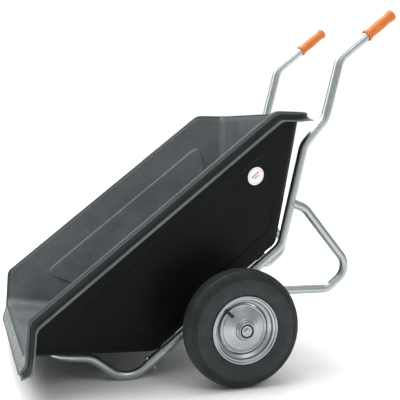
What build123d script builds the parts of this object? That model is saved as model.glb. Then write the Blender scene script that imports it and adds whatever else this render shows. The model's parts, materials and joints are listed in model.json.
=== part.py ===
from build123d import *
import os
from math import asin, atan2, cos, hypot, radians, sin, tan

# Two-wheeled tub barrow, millimetres, stored tipped forward for emptying.
# World frame: +Z up, +X forward, +Y to the left of whoever pushes it, and the origin
# on the ground midway between the wheels, straight under the axle.
# The body is laid out in a rim frame about the axle (forward, left, up) in which the
# rim is level. That frame turns nose down until the nose loop stands on the ground.

# ---- whole barrow ----
wheel_diameter = 400
track = 904

# ---- tubes of the frame ----
tube_diameter = 32
tube_wall = 2
tube_bend = 75
tube_spacing = 548
rail_height = 50
rail_rear = -324
handle_height = 441
handle_end = -1187
handle_bend = -917
joggle_start = -740
joggle_start_height = 305
joggle_end = -614
joggle_end_height = 281

# ---- nose loop ----
sleeve_start = 238
sleeve_end = 315
sleeve_wall = 2.5
slip_clearance = 0.3
tube_joint_gap = 2
nose_foot = 402
nose_foot_bend = 95
nose_rise_height = 206
nose_top_height = 292
nose_tub_gap = 6
nose_bolt_position = 300
nose_bolt_diameter = 8

# ---- leg loops ----
leg_top = -449
leg_shoulder = -479
leg_shoulder_height = 98
leg_foot_rear = -486
leg_foot_height = -200
leg_foot_front = -366
leg_front = -67
leg_bend = 60

# ---- tub ----
tub_wall = 5
tub_lift = 3
rim_height = 487
floor_front = 270
floor_rear = -321
floor_half_width = 290
side_flare = 0.319
side_taper = 0.0134
front_slope = 44.8
rear_slope = 47.3
floor_corner = 48
rim_corner = 56
bottom_fillet = 42
kink_front = 500
kink_rear = -546
rim_half_width = 440
lip_end = 643
lip_height = 358
lip_half_width = 386
cheek_end = 583
cheek_height = 398
cheek_half_width = 438
rear_end = -696
rear_height = 365
rear_corner_end = -660
rear_half_width = 420
rim_thickness = 9
skirt_depth = 44
skirt_wall = 4
wall_lean = 1.15
cut_margin = 30
panel_front = 388
panel_rear = -462
panel_top = 388
panel_bottom = 140
panel_bottom_front = 250
panel_bottom_rear = -330
panel_depth = 4
panel_corner = 36
label_diameter = 64
label_thickness = 0.5
label_forward = -368
label_height = 350

# ---- wheels ----
tyre_width = 100
tyre_wall = 8
tyre_foot = 12
tyre_flange_gap = 4
bead_seat = 203
rim_edge = 228
rim_width = 88
rim_sheet = 2.5
rim_bend = 3.5
flange_set_back = 3
flange_face = 6
flange_dish = 2
seat_drop = 1
cone_width = 9
bead_gap = 0.5
bead_sink = 1
drop_diameter = 170
drop_width = 30
air_tube_wall = 2
hub_length = 110
hub_wall = 3.5
hub_waist = 34
disc_sheet = 2.5
disc_offset = 20
disc_rise = 34
disc_step = 12
disc_foot = 2
disc_round = 3
disc_bend = 2.8
collar_step = 5.5
collar_offset = 42
valve_angle = 47
valve_lean = 42
valve_diameter = 7.7
valve_root_diameter = 12
valve_length = 36
valve_cap_diameter = 9
valve_cap_length = 12
valve_cap_lead = 1

# Tyre section: shares of the wheel's radius and of the half width, each with the share
# of an inset that moves it.
tyre_shape = (
    (0.73, 1, 0, 1),
    (0.89, 0.92, 0, 1),
    (0.97, 0.66, 0.8, 0.7),
    (1, 0.12, 1, 0),
)

# ---- axle and bearings ----
axle_diameter = 20
bearing_diameter = 47
bearing_width = 14
bearing_recess = 5
race_thickness = 4.2
ball_groove_depth = 1.4
ball_count = 8
fit_clearance = 0.02
running_gap = 0.3
washer_diameter = 36
washer_thickness = 3
end_bolt_diameter = 10
end_bolt_flats = 17
end_bolt_head = 6.4
end_bolt_length = 30
end_bolt_chamfer = 1
end_bolt_gap = 2
spacer_diameter = 27
bracket_wall = 6
bracket_length = 70
bracket_under_axle = 18
bracket_inset = 1
axle_set_back = 1
dust_ring_recess = 0.5

# ---- cross members and fasteners ----
member_wall = 3
member_depth = 30
member_width = 40
member_places = (-240, 190)
tub_bolt_spread = 360
tub_bolt_diameter = 8
tub_washer_diameter = 30
nut_flats = 13
nut_height = 6.5
thread_end = 3
tub_washer_thickness = 2
tub_bolt_head = 4
tub_bolt_head_taper = 30

# ---- grips ----
grip_length = 131
grip_diameter = 37
grip_collar_diameter = 45
grip_collar_length = 9
grip_end_diameter = 42
grip_cap = 5
grip_cap_round = 3
grip_end_taper = 14
grip_collar_taper = 11

# ---- sizes worked out ----
wheel_radius = wheel_diameter / 2
tube_radius = tube_diameter / 2
tube_side = tube_spacing / 2
axle_radius = axle_diameter / 2
tub_bottom = rail_height + tube_radius + tub_lift
tub_bolt_grip = tub_washer_thickness + tub_wall + member_wall
wheel_side = track / 2
bearing_face = hub_length / 2 - bearing_recess
axle_tip = wheel_side + bearing_face - axle_set_back
bearing_middle = (axle_diameter + bearing_diameter) / 4
ball_radius = (bearing_diameter - axle_diameter) / 4 - race_thickness + ball_groove_depth
SIDES = (("left", 1), ("right", -1))


def front_wall(height):
    """Forward place of the tub's front wall at a height."""
    return floor_front + (height - tub_bottom) / tan(radians(front_slope))


def rear_wall(height):
    """Forward place of the tub's rear wall at a height."""
    return floor_rear - (height - tub_bottom) / tan(radians(rear_slope))


def side_wall(forward, height):
    """Half width of the tub at a forward place and a height."""
    return floor_half_width + (height - tub_bottom) * side_flare + forward * side_taper


nose_offset = (tube_radius + nose_tub_gap) / sin(radians(front_slope))
nose_rise = front_wall(nose_rise_height) + nose_offset
nose_top = front_wall(nose_top_height) + nose_offset

# The nose loop's foot bend is an arc. The barrow tips until the arc's underside is
# as low as the tyres.
nose_turn = atan2(nose_rise_height - rail_height, nose_rise - nose_foot)
bend_forward = nose_foot - nose_foot_bend * tan(nose_turn / 2)
bend_height = rail_height + nose_foot_bend
bend_reach = wheel_radius - nose_foot_bend - tube_radius
tip_angle = atan2(bend_height, bend_forward) + asin(bend_reach / hypot(bend_forward, bend_height))

rim_frame = Plane(
    origin=(0, 0, wheel_radius),
    x_dir=(cos(tip_angle), 0, -sin(tip_angle)),
    z_dir=(sin(tip_angle), 0, cos(tip_angle)),
)


def place(forward, left, up):
    """Point of the rim frame in the world frame."""
    return rim_frame.from_local_coords(Vector(forward, left, up))


def turned(forward, left, up):
    """Direction of the rim frame in the world frame."""
    return place(forward, left, up) - place(0, 0, 0)


def level(height):
    """Plane parallel to the rim, at a height above the axle."""
    return rim_frame.offset(height)


def upright(left):
    """Lengthwise upright plane: local x is forward, local y is up."""
    return Plane(origin=place(0, left, 0), x_dir=rim_frame.x_dir, z_dir=(0, -1, 0))


def wheel_plane(side):
    """Plane of one wheel: local x is forward, local z points away from the barrow."""
    return Plane(origin=(0, side * wheel_side, wheel_radius), x_dir=(1, 0, 0), z_dir=(0, side, 0))


def wheel_section(side):
    """Plane of a wheel's section: local x is the radius, local y points outwards."""
    middle = wheel_plane(side)
    return Plane(origin=middle.origin, x_dir=(1, 0, 0), z_dir=middle.x_dir.cross(middle.z_dir))


def wheel_axis(side):
    """Axis of one wheel, pointing away from the barrow."""
    middle = wheel_plane(side)
    return Axis(middle.origin, middle.z_dir)


def tub_corners(height, inset):
    """Corners of the tub at a height, moved in by a horizontal inset."""
    front = front_wall(height) - inset
    rear = rear_wall(height) + inset
    half_front = side_wall(front, height) - inset
    half_rear = side_wall(rear, height) - inset
    return [(front, half_front), (rear, half_rear), (rear, -half_rear), (front, -half_front)]


def rim_line(forward):
    """Height of the rim over a forward place: level sides and sloped ends."""
    if forward > cheek_end:
        share = (forward - cheek_end) / (lip_end - cheek_end)
        return cheek_height + share * (lip_height - cheek_height)
    if forward > kink_front:
        share = (forward - kink_front) / (cheek_end - kink_front)
        return rim_height + share * (cheek_height - rim_height)
    if forward < kink_rear:
        share = (forward - kink_rear) / (rear_end - kink_rear)
        return rim_height + share * (rear_height - rim_height)
    return rim_height


def rim_half(forward):
    """Half width of the rim's outer edge along its straight side."""
    return rim_half_width + forward * side_taper


def rim_plan(inset):
    """Plan of the rim's outer edge: straight sides, cut front corners, bowed back."""
    half = [
        (lip_end - inset, lip_half_width - inset),
        (cheek_end - inset, cheek_half_width - inset),
        (kink_rear, rim_half(kink_rear) - inset),
        (rear_corner_end + inset, rear_half_width - inset),
    ]
    back = [(rear_end + inset, 0)]
    return half + back + [(forward, -left) for forward, left in reversed(half)]


rim_plan_bends = [35, 60, 90, 85, 420, 85, 90, 60, 35]


def rim_strip(top, depth):
    """Side view of the strip between two depths under the rim, as closed points."""
    places = (lip_end + cut_margin, cheek_end, kink_front, kink_rear, rear_end - cut_margin)
    upper = [(forward, rim_line(forward) - top) for forward in places]
    lower = [(forward, rim_line(forward) - depth) for forward in reversed(places)]
    return upper + lower


def tub_block(low, high, inset, corner_inset):
    """Tapered block of the tub between two heights, rounded at its corners and floor."""
    with BuildPart() as block:
        for height, corner in ((low, floor_corner), (high, rim_corner)):
            with BuildSketch(level(height)):
                with BuildLine():
                    Polyline(*tub_corners(height, inset), close=True)
                make_face()
                fillet(vertices(), corner - corner_inset)
        loft(ruled=True)
        floor_face = block.faces().sort_by(Axis(rim_frame.origin, rim_frame.z_dir))[0]
        fillet(floor_face.edges(), bottom_fillet - corner_inset)
    return block.part


def rim_block(inset):
    """Upright block over the rim's plan, moved in by an inset."""
    with BuildPart() as block:
        with BuildSketch(level(0)):
            with BuildLine():
                FilletPolyline(*rim_plan(inset), radius=rim_plan_bends, close=True)
            make_face()
        extrude(amount=rim_height + cut_margin)
    return block.part


def strip_block(top, depth):
    """Strip between two depths under the rim, wider than the tub."""
    with BuildPart() as block:
        with BuildSketch(upright(0)):
            with BuildLine():
                Polyline(*rim_strip(top, depth), close=True)
            make_face()
        extrude(amount=rim_half_width + cut_margin, both=True)
    return block.part


def side_plane(inset):
    """Plane in the left side wall, moved in by an inset: local x forward, y up."""
    outward = turned(-side_taper, 1, -side_flare).normalized()
    start = place(0, side_wall(0, tub_bottom), tub_bottom) - outward * inset
    return Plane(origin=start, x_dir=turned(1, side_taper, 0), z_dir=-outward)


def on_side(forward, height):
    """Local place on the side plane of a forward place and a height."""
    local = side_plane(0).to_local_coords(place(forward, side_wall(forward, height), height))
    return (local.X, local.Y)


def panel_block(inset, grow):
    """Long panel of both side walls, from an inset towards the inside."""
    corners = [
        on_side(panel_front + grow, panel_top + grow),
        on_side(panel_rear - grow, panel_top + grow),
        on_side(panel_bottom_rear - grow, panel_bottom - grow),
        on_side(panel_bottom_front + grow, panel_bottom - grow),
    ]
    with BuildPart() as block:
        with BuildSketch(side_plane(inset)):
            with BuildLine():
                Polyline(*corners, close=True)
            make_face()
            fillet(vertices(), panel_corner)
        extrude(amount=panel_depth)
        mirror(about=Plane.XZ)
    return block.part


def tub_bolt_spots(height):
    """Places of the tub bolts at a height of the rim frame."""
    half = tub_bolt_spread / 2
    return [place(forward, left, height) for forward in member_places for left in (-half, half)]


def bent_tube(points, bends, outside, inside):
    """Round tube along filleted straight runs given in the rim frame."""
    with BuildPart() as tube:
        with BuildLine(rim_frame) as path:
            FilletPolyline(*points, radius=bends)
        run = path.wires()[0]
        with BuildSketch(Plane(origin=run @ 0, z_dir=run % 0)):
            Circle(outside / 2)
            if inside:
                Circle(inside / 2, mode=Mode.SUBTRACT)
        sweep()
    return tube.part


def beside(points, left):
    """Points of a side view moved out to a distance left of the middle."""
    return [(forward, left, up) for forward, up in points]


os.makedirs("parts", exist_ok=True)

# ---- tub ----
tub_outside = tub_block(tub_bottom, rim_height, 0, 0)
tub_inside = tub_block(tub_bottom + tub_wall, rim_height + cut_margin, tub_wall * wall_lean, tub_wall)
with BuildPart() as rim_flange:
    add(rim_block(0))
    add(strip_block(0, rim_thickness), mode=Mode.INTERSECT)
with BuildPart() as rim_skirt:
    add(rim_block(0))
    add(rim_block(skirt_wall), mode=Mode.SUBTRACT)
    add(strip_block(0, skirt_depth), mode=Mode.INTERSECT)

with BuildPart() as tub:
    add(tub_outside)
    add(strip_block(0, 2 * rim_height), mode=Mode.INTERSECT)
    add(rim_flange.part)
    add(rim_skirt.part)
    add(tub_inside, mode=Mode.SUBTRACT)
    add(panel_block(tub_wall, 0))
    add(panel_block(0, -panel_depth), mode=Mode.SUBTRACT)
    for spot in tub_bolt_spots(tub_bottom):
        with BuildSketch(Plane(origin=spot, z_dir=rim_frame.z_dir)):
            Circle(tub_bolt_diameter / 2 + slip_clearance)
        extrude(amount=tub_wall * 2, both=True, mode=Mode.SUBTRACT)
tub.part.label = "tub"
export_step(tub.part, "parts/tub.step")

label_place = side_plane(panel_depth - label_thickness)
with BuildPart() as tub_label:
    with BuildSketch(label_place):
        with Locations(on_side(label_forward, label_height)):
            Circle(label_diameter / 2)
    extrude(amount=label_thickness)
tub_label.part.label = "tub_label"
export_step(tub_label.part, "parts/tub_label.step")

# ---- main tubes, sleeves, legs and grips ----
handle_points = [
    (handle_end, handle_height),
    (handle_bend, handle_height),
    (joggle_start, joggle_start_height),
    (joggle_end, joggle_end_height),
    (rail_rear, rail_height),
    ((sleeve_start + sleeve_end) / 2 - tube_joint_gap / 2, rail_height),
]
slope_share = (leg_top - joggle_end) / (rail_rear - joggle_end)
leg_top_height = joggle_end_height + slope_share * (rail_height - joggle_end_height)
leg_points = [
    (leg_top, leg_top_height),
    (leg_shoulder, leg_shoulder_height),
    (leg_foot_rear, leg_foot_height),
    (leg_foot_front, leg_foot_height),
    (leg_front, rail_height),
]

tube_bore = tube_diameter - 2 * tube_wall
grip_start = handle_end + grip_length
grip_waist = grip_start - grip_collar_length - grip_collar_taper
sleeve_bore = tube_diameter + 2 * slip_clearance
sleeve_radius = sleeve_bore / 2 + sleeve_wall

for name, side in SIDES:
    left = side * tube_side
    rail_line = Plane(origin=place(0, left, rail_height), z_dir=rim_frame.x_dir)
    with BuildPart() as main_tube:
        add(bent_tube(beside(handle_points, left), tube_bend, tube_diameter, tube_bore))
    main_tube.part.label = f"main_tube_{name}"
    export_step(main_tube.part, f"parts/main_tube_{name}.step")

    with BuildPart() as nose_sleeve:
        with BuildSketch(rail_line.offset(sleeve_start)):
            Circle(sleeve_radius)
            Circle(sleeve_bore / 2, mode=Mode.SUBTRACT)
        extrude(amount=sleeve_end - sleeve_start)
        with BuildSketch(Plane(place(nose_bolt_position, left, rail_height), z_dir=rim_frame.z_dir)):
            Circle(nose_bolt_diameter / 2 + slip_clearance)
        extrude(amount=tube_diameter, both=True, mode=Mode.SUBTRACT)
    nose_sleeve.part.label = f"nose_sleeve_{name}"
    export_step(nose_sleeve.part, f"parts/nose_sleeve_{name}.step")

    with BuildPart() as leg_tube:
        add(bent_tube(beside(leg_points, left), leg_bend, tube_diameter, tube_bore))
        add(bent_tube(beside(handle_points, left), tube_bend, tube_diameter, 0), mode=Mode.SUBTRACT)
    leg_tube.part.label = f"leg_tube_{name}"
    export_step(leg_tube.part, f"parts/leg_tube_{name}.step")

    with BuildPart() as grip:
        with BuildSketch(upright(left)):
            with BuildLine():
                Polyline(
                    (handle_end - grip_cap, handle_height),
                    (handle_end - grip_cap, handle_height + grip_end_diameter / 2 - grip_cap_round),
                    (handle_end, handle_height + grip_end_diameter / 2),
                    (handle_end + grip_end_taper, handle_height + grip_diameter / 2),
                    (grip_waist, handle_height + grip_diameter / 2),
                    (grip_start - grip_collar_length, handle_height + grip_collar_diameter / 2),
                    (grip_start, handle_height + grip_collar_diameter / 2),
                    (grip_start, handle_height + tube_radius),
                    (handle_end, handle_height + tube_radius),
                    (handle_end, handle_height),
                    close=True,
                )
            make_face()
        revolve(axis=Axis(place(0, left, handle_height), rim_frame.x_dir))
    grip.part.label = f"grip_{name}"
    export_step(grip.part, f"parts/grip_{name}.step")

# ---- nose loop ----
nose_half = [
    ((sleeve_start + sleeve_end) / 2 + tube_joint_gap / 2, rail_height),
    (nose_foot, rail_height),
    (nose_rise, nose_rise_height),
    (nose_top, nose_top_height),
]
nose_bends = [nose_foot_bend, tube_bend, tube_bend]
nose_points = beside(nose_half, tube_side) + beside(nose_half[::-1], -tube_side)
with BuildPart() as nose_tube:
    add(bent_tube(nose_points, nose_bends + nose_bends[::-1], tube_diameter, tube_bore))
    for _, side in SIDES:
        bolt_spot = place(nose_bolt_position, side * tube_side, rail_height)
        with BuildSketch(Plane(origin=bolt_spot, z_dir=rim_frame.z_dir)):
            Circle(nose_bolt_diameter / 2 + slip_clearance)
        extrude(amount=tube_diameter, both=True, mode=Mode.SUBTRACT)
nose_tube.part.label = "nose_tube"
export_step(nose_tube.part, "parts/nose_tube.step")

with BuildPart() as nose_bolts:
    for _, side in SIDES:
        top = place(nose_bolt_position, side * tube_side, rail_height + sleeve_radius)
        with BuildSketch(Plane(origin=top, z_dir=rim_frame.z_dir)):
            RegularPolygon(nut_flats / 2, 6, major_radius=False)
        extrude(amount=nut_height)
        with BuildSketch(Plane(origin=top, z_dir=rim_frame.z_dir)):
            Circle(nose_bolt_diameter / 2)
        extrude(amount=-2 * sleeve_radius - nut_height - thread_end)
nose_bolts.part.label = "nose_bolts"
export_step(nose_bolts.part, "parts/nose_bolts.step")

with BuildPart() as nose_nuts:
    for _, side in SIDES:
        under = place(nose_bolt_position, side * tube_side, rail_height - sleeve_radius)
        with BuildSketch(Plane(origin=under, z_dir=rim_frame.z_dir)):
            RegularPolygon(nut_flats / 2, 6, major_radius=False)
            Circle(nose_bolt_diameter / 2 + fit_clearance, mode=Mode.SUBTRACT)
        extrude(amount=-nut_height)
nose_nuts.part.label = "nose_nuts"
export_step(nose_nuts.part, "parts/nose_nuts.step")

# ---- cross members under the floor ----
for name, forward in zip(("rear", "front"), member_places):
    with BuildPart() as cross_member:
        with BuildSketch(upright(0)):
            with Locations((forward, tub_bottom - member_depth / 2)):
                Rectangle(member_width, member_depth)
            with Locations((forward, tub_bottom - member_depth / 2 - member_wall)):
                Rectangle(member_width - 2 * member_wall, member_depth, mode=Mode.SUBTRACT)
        extrude(amount=tube_side, both=True)
        for _, side in SIDES:
            rail_spot = place(forward - member_width, side * tube_side, rail_height)
            with BuildSketch(Plane(origin=rail_spot, z_dir=rim_frame.x_dir)):
                Circle(tube_radius)
            extrude(amount=2 * member_width, mode=Mode.SUBTRACT)
            bolt_spot = place(forward, side * tub_bolt_spread / 2, tub_bottom)
            with BuildSketch(Plane(origin=bolt_spot, z_dir=rim_frame.z_dir)):
                Circle(tub_bolt_diameter / 2 + slip_clearance)
            extrude(amount=-2 * member_wall, mode=Mode.SUBTRACT)
    cross_member.part.label = f"cross_member_{name}"
    export_step(cross_member.part, f"parts/cross_member_{name}.step")

with BuildPart() as tub_washers:
    for spot in tub_bolt_spots(tub_bottom + tub_wall):
        with BuildSketch(Plane(origin=spot, z_dir=rim_frame.z_dir)):
            Circle(tub_washer_diameter / 2)
            Circle(tub_bolt_diameter / 2 + slip_clearance, mode=Mode.SUBTRACT)
        extrude(amount=tub_washer_thickness)
tub_washers.part.label = "tub_washers"
export_step(tub_washers.part, "parts/tub_washers.step")

with BuildPart() as tub_bolts:
    for spot in tub_bolt_spots(tub_bottom + tub_wall + tub_washer_thickness):
        with BuildSketch(Plane(origin=spot, z_dir=rim_frame.z_dir)):
            Circle(tub_bolt_diameter)
        extrude(amount=tub_bolt_head, taper=tub_bolt_head_taper)
        with BuildSketch(Plane(origin=spot, z_dir=rim_frame.z_dir)):
            Circle(tub_bolt_diameter / 2)
        extrude(amount=-tub_bolt_grip - nut_height - thread_end)
tub_bolts.part.label = "tub_bolts"
export_step(tub_bolts.part, "parts/tub_bolts.step")

with BuildPart() as tub_nuts:
    for spot in tub_bolt_spots(tub_bottom - member_wall):
        with BuildSketch(Plane(origin=spot, z_dir=rim_frame.z_dir)):
            RegularPolygon(nut_flats / 2, 6, major_radius=False)
            Circle(tub_bolt_diameter / 2 + fit_clearance, mode=Mode.SUBTRACT)
        extrude(amount=-nut_height)
tub_nuts.part.label = "tub_nuts"
export_step(tub_nuts.part, "parts/tub_nuts.step")

# ---- axle and its brackets ----
across_axle = Plane(origin=(0, 0, wheel_radius), x_dir=(1, 0, 0), z_dir=(0, 1, 0))
with BuildPart() as axle:
    with BuildSketch(across_axle):
        Circle(axle_radius)
    extrude(amount=axle_tip, both=True)
    for _, side in SIDES:
        with BuildSketch(wheel_plane(side).offset(axle_tip - wheel_side)):
            Circle(end_bolt_diameter / 2 + fit_clearance)
        extrude(amount=-end_bolt_length, mode=Mode.SUBTRACT)
axle.part.label = "axle"
export_step(axle.part, "parts/axle.step")

bracket_half = tube_radius - bracket_inset
for name, side in SIDES:
    left = side * tube_side
    with BuildPart() as axle_bracket:
        with BuildSketch(upright(left)):
            with BuildLine():
                Polyline(
                    (-bracket_length / 2, rail_height),
                    (bracket_length / 2, rail_height),
                    (bracket_under_axle, -bracket_under_axle),
                    (-bracket_under_axle, -bracket_under_axle),
                    close=True,
                )
            make_face()
            fillet(vertices().group_by(Axis.Y)[0], bracket_under_axle / 2)
        extrude(amount=bracket_half, both=True)
        with BuildSketch(upright(left)):
            with Locations((0, -tube_radius - bracket_wall)):
                Rectangle(2 * bracket_length, 2 * rail_height)
        extrude(amount=bracket_half - bracket_wall, both=True, mode=Mode.SUBTRACT)
        with BuildSketch(Plane(origin=place(-bracket_length, left, rail_height), z_dir=rim_frame.x_dir)):
            Circle(tube_radius)
        extrude(amount=2 * bracket_length, mode=Mode.SUBTRACT)
        with BuildSketch(across_axle):
            Circle(axle_radius + fit_clearance)
        extrude(amount=track, both=True, mode=Mode.SUBTRACT)
    axle_bracket.part.label = f"axle_bracket_{name}"
    export_step(axle_bracket.part, f"parts/axle_bracket_{name}.step")

# ---- wheels ----
bead_radius = bead_seat / 2
edge_radius = rim_edge / 2
drop_radius = drop_diameter / 2
half_rim = rim_width / 2
half_drop = drop_width / 2
half_tyre = tyre_width / 2
bearing_radius = bearing_diameter / 2
hub_radius = bearing_radius + hub_wall
collar_radius = hub_radius + collar_step
ball_groove = ball_radius + running_gap
washer_radius = washer_diameter / 2
bearing_places = (bearing_face - bearing_width, -bearing_face)
bracket_outside = tube_side + bracket_half - wheel_side


def mirrored(half):
    """Half of a wheel section followed by its mirror image across the wheel's middle."""
    return half + [(radius, -out) for radius, out in reversed(half)]


def tyre_loop(inset, base):
    """Smooth closed section of the tyre moved in by an inset, flat across a base radius."""
    half = [
        (base, half_rim - tyre_foot - inset),
        (edge_radius + tyre_flange_gap, half_rim - tyre_flange_gap - inset),
    ]
    for up, out, inset_up, inset_out in tyre_shape:
        half.append((wheel_radius * up - inset * inset_up, half_tyre * out - inset * inset_out))
    with BuildSketch() as loop:
        with BuildLine():
            Spline(*mirrored(half))
            Line(half[0], (half[0][0], -half[0][1]))
        make_face()
    return loop.sketch


def air_loop(inset, base):
    """Section of the tyre moved in by an inset and cut off flat at a base radius."""
    with BuildSketch() as loop:
        add(tyre_loop(inset, tyre_bore))
        with Locations((base + wheel_radius, 0)):
            Rectangle(2 * wheel_radius, tyre_width, mode=Mode.INTERSECT)
    return loop.sketch


def ring(side, inner, outer, start, end):
    """Plain ring about a wheel's axle between two distances out from its middle."""
    with BuildPart() as plain_ring:
        with BuildSketch(wheel_plane(side).offset(start)):
            Circle(outer)
            if inner:
                Circle(inner, mode=Mode.SUBTRACT)
        extrude(amount=end - start)
    return plain_ring.part


def ball_path(side):
    """Ring-shaped room in which the balls of both bearings of a wheel run."""
    with BuildPart() as room:
        with BuildSketch(wheel_section(side)):
            for start in bearing_places:
                with Locations((bearing_middle, start + bearing_width / 2)):
                    Circle(ball_groove)
        revolve(axis=wheel_axis(side))
    return room.part


def valve_plane(side, along):
    """Plane across a wheel's valve, at a distance from the valve's root."""
    angle = radians(valve_angle)
    inward = Vector(-cos(angle), 0, -sin(angle))
    outward = Vector(0, side, 0)
    root_radius = (bead_radius + drop_radius) / 2
    root_out = wheel_side + half_drop + valve_root_diameter / 2
    root = Vector(0, side * root_out, wheel_radius) - inward * root_radius
    lean = inward * cos(radians(valve_lean)) + outward * sin(radians(valve_lean))
    return Plane(origin=root + lean * along, z_dir=lean)


bead_base = bead_radius + bead_gap
tyre_bore = bead_radius - bead_sink
air_tube_base = bead_base + bead_sink
air_tube_inset = tyre_wall + slip_clearance
flange_out = half_rim - flange_set_back
rim_profile = [
    (edge_radius, flange_out),
    (edge_radius - flange_face, flange_out - flange_dish),
    (bead_radius, flange_out - 2 * flange_dish),
    (bead_radius - seat_drop, half_drop + cone_width),
    (drop_radius, half_drop),
]
disc_radius = drop_radius - rim_sheet - fit_clearance
disc_profile = [
    (disc_radius, disc_foot),
    (disc_radius, disc_offset),
    (drop_radius - disc_step, disc_offset),
    (drop_radius - disc_step - disc_round, disc_offset + disc_round),
    (collar_radius, disc_rise),
    (collar_radius, collar_offset),
    (hub_radius, collar_offset),
]

for name, side in SIDES:
    section = wheel_section(side)
    spin = wheel_axis(side)
    root_cut = valve_plane(side, -valve_length / 2)

    with BuildPart() as tyre:
        with BuildSketch(section):
            add(tyre_loop(0, bead_base))
            add(tyre_loop(tyre_wall, tyre_bore), mode=Mode.SUBTRACT)
        revolve(axis=spin)
    tyre.part.label = f"tyre_{name}"
    export_step(tyre.part, f"parts/tyre_{name}.step")

    with BuildPart() as air_tube:
        with BuildSketch(section):
            add(air_loop(air_tube_inset, air_tube_base))
            add(
                air_loop(air_tube_inset + air_tube_wall, air_tube_base + air_tube_wall),
                mode=Mode.SUBTRACT,
            )
        revolve(axis=spin)
    air_tube.part.label = f"air_tube_{name}"
    export_step(air_tube.part, f"parts/air_tube_{name}.step")

    with BuildPart() as rim:
        with BuildSketch(section):
            with BuildLine():
                FilletPolyline(*mirrored(rim_profile), radius=rim_bend)
                offset(amount=rim_sheet, side=Side.RIGHT, closed=True)
            make_face()
        revolve(axis=spin)
        with BuildSketch(root_cut):
            Circle(valve_root_diameter / 2)
        extrude(amount=valve_length, mode=Mode.SUBTRACT)
    rim.part.label = f"rim_{name}"
    export_step(rim.part, f"parts/rim_{name}.step")

    with BuildPart() as wheel_disc:
        with BuildSketch(section):
            with BuildLine():
                FilletPolyline(*disc_profile, radius=disc_bend)
                offset(amount=disc_sheet, side=Side.LEFT, closed=True)
            make_face()
        revolve(axis=spin)
        add(ring(side, 0, hub_radius, -hub_length, hub_length), mode=Mode.SUBTRACT)
    wheel_disc.part.label = f"wheel_disc_{name}"
    export_step(wheel_disc.part, f"parts/wheel_disc_{name}.step")

    with BuildPart() as hub:
        add(ring(side, hub_waist / 2, hub_radius, -hub_length / 2, hub_length / 2))
        for start, end in ((-hub_length, bearing_places[1] + bearing_width), (bearing_places[0], hub_length)):
            add(ring(side, 0, bearing_radius + fit_clearance, start, end), mode=Mode.SUBTRACT)
    hub.part.label = f"hub_{name}"
    export_step(hub.part, f"parts/hub_{name}.step")

    with BuildPart() as outer_races:
        for start in bearing_places:
            add(ring(side, bearing_radius - race_thickness, bearing_radius, start, start + bearing_width))
        add(ball_path(side), mode=Mode.SUBTRACT)
    outer_races.part.label = f"outer_races_{name}"
    export_step(outer_races.part, f"parts/outer_races_{name}.step")

    with BuildPart() as inner_races:
        for start in bearing_places:
            add(
                ring(
                    side,
                    axle_radius + fit_clearance,
                    axle_radius + race_thickness,
                    start,
                    start + bearing_width,
                )
            )
        add(ball_path(side), mode=Mode.SUBTRACT)
    inner_races.part.label = f"inner_races_{name}"
    export_step(inner_races.part, f"parts/inner_races_{name}.step")

    with BuildPart() as bearing_balls:
        for start in bearing_places:
            with Locations(wheel_plane(side).offset(start + bearing_width / 2)):
                with PolarLocations(bearing_middle, ball_count):
                    Sphere(ball_radius)
    bearing_balls.part.label = f"bearing_balls_{name}"
    export_step(bearing_balls.part, f"parts/bearing_balls_{name}.step")

    with BuildPart() as dust_ring:
        add(
            ring(
                side,
                washer_radius + running_gap,
                bearing_radius,
                bearing_face + running_gap,
                hub_length / 2 - dust_ring_recess,
            )
        )
    dust_ring.part.label = f"dust_ring_{name}"
    export_step(dust_ring.part, f"parts/dust_ring_{name}.step")

    with BuildPart() as hub_spacer:
        inside_races = bearing_places[0]
        add(ring(side, axle_radius + fit_clearance, spacer_diameter / 2, -inside_races, inside_races))
    hub_spacer.part.label = f"hub_spacer_{name}"
    export_step(hub_spacer.part, f"parts/hub_spacer_{name}.step")

    with BuildPart() as axle_spacer:
        add(
            ring(
                side, axle_radius + fit_clearance, spacer_diameter / 2, bracket_outside, -bearing_face
            )
        )
    axle_spacer.part.label = f"axle_spacer_{name}"
    export_step(axle_spacer.part, f"parts/axle_spacer_{name}.step")

    with BuildPart() as axle_washer:
        add(
            ring(
                side,
                end_bolt_diameter / 2 + slip_clearance,
                washer_radius,
                bearing_face,
                bearing_face + washer_thickness,
            )
        )
    axle_washer.part.label = f"axle_washer_{name}"
    export_step(axle_washer.part, f"parts/axle_washer_{name}.step")

    with BuildPart() as axle_bolt:
        with BuildSketch(wheel_plane(side).offset(bearing_face + washer_thickness)):
            RegularPolygon(end_bolt_flats / 2, 6, major_radius=False)
        extrude(amount=end_bolt_head)
        chamfer(axle_bolt.faces().sort_by(Axis.Y)[-1 if side > 0 else 0].edges(), end_bolt_chamfer)
        with BuildSketch(wheel_plane(side).offset(bearing_face + washer_thickness)):
            Circle(end_bolt_diameter / 2)
        extrude(amount=end_bolt_gap - end_bolt_length)
    axle_bolt.part.label = f"axle_bolt_{name}"
    export_step(axle_bolt.part, f"parts/axle_bolt_{name}.step")

    with BuildPart() as valve_stem:
        with BuildSketch(valve_plane(side, 0)):
            Circle(valve_root_diameter / 2)
        with BuildSketch(valve_plane(side, valve_length / 3)):
            Circle(valve_diameter / 2)
        loft()
        with BuildSketch(valve_plane(side, valve_length / 3)):
            Circle(valve_diameter / 2)
        extrude(amount=valve_length * 2 / 3)
    valve_stem.part.label = f"valve_stem_{name}"
    export_step(valve_stem.part, f"parts/valve_stem_{name}.step")

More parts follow.
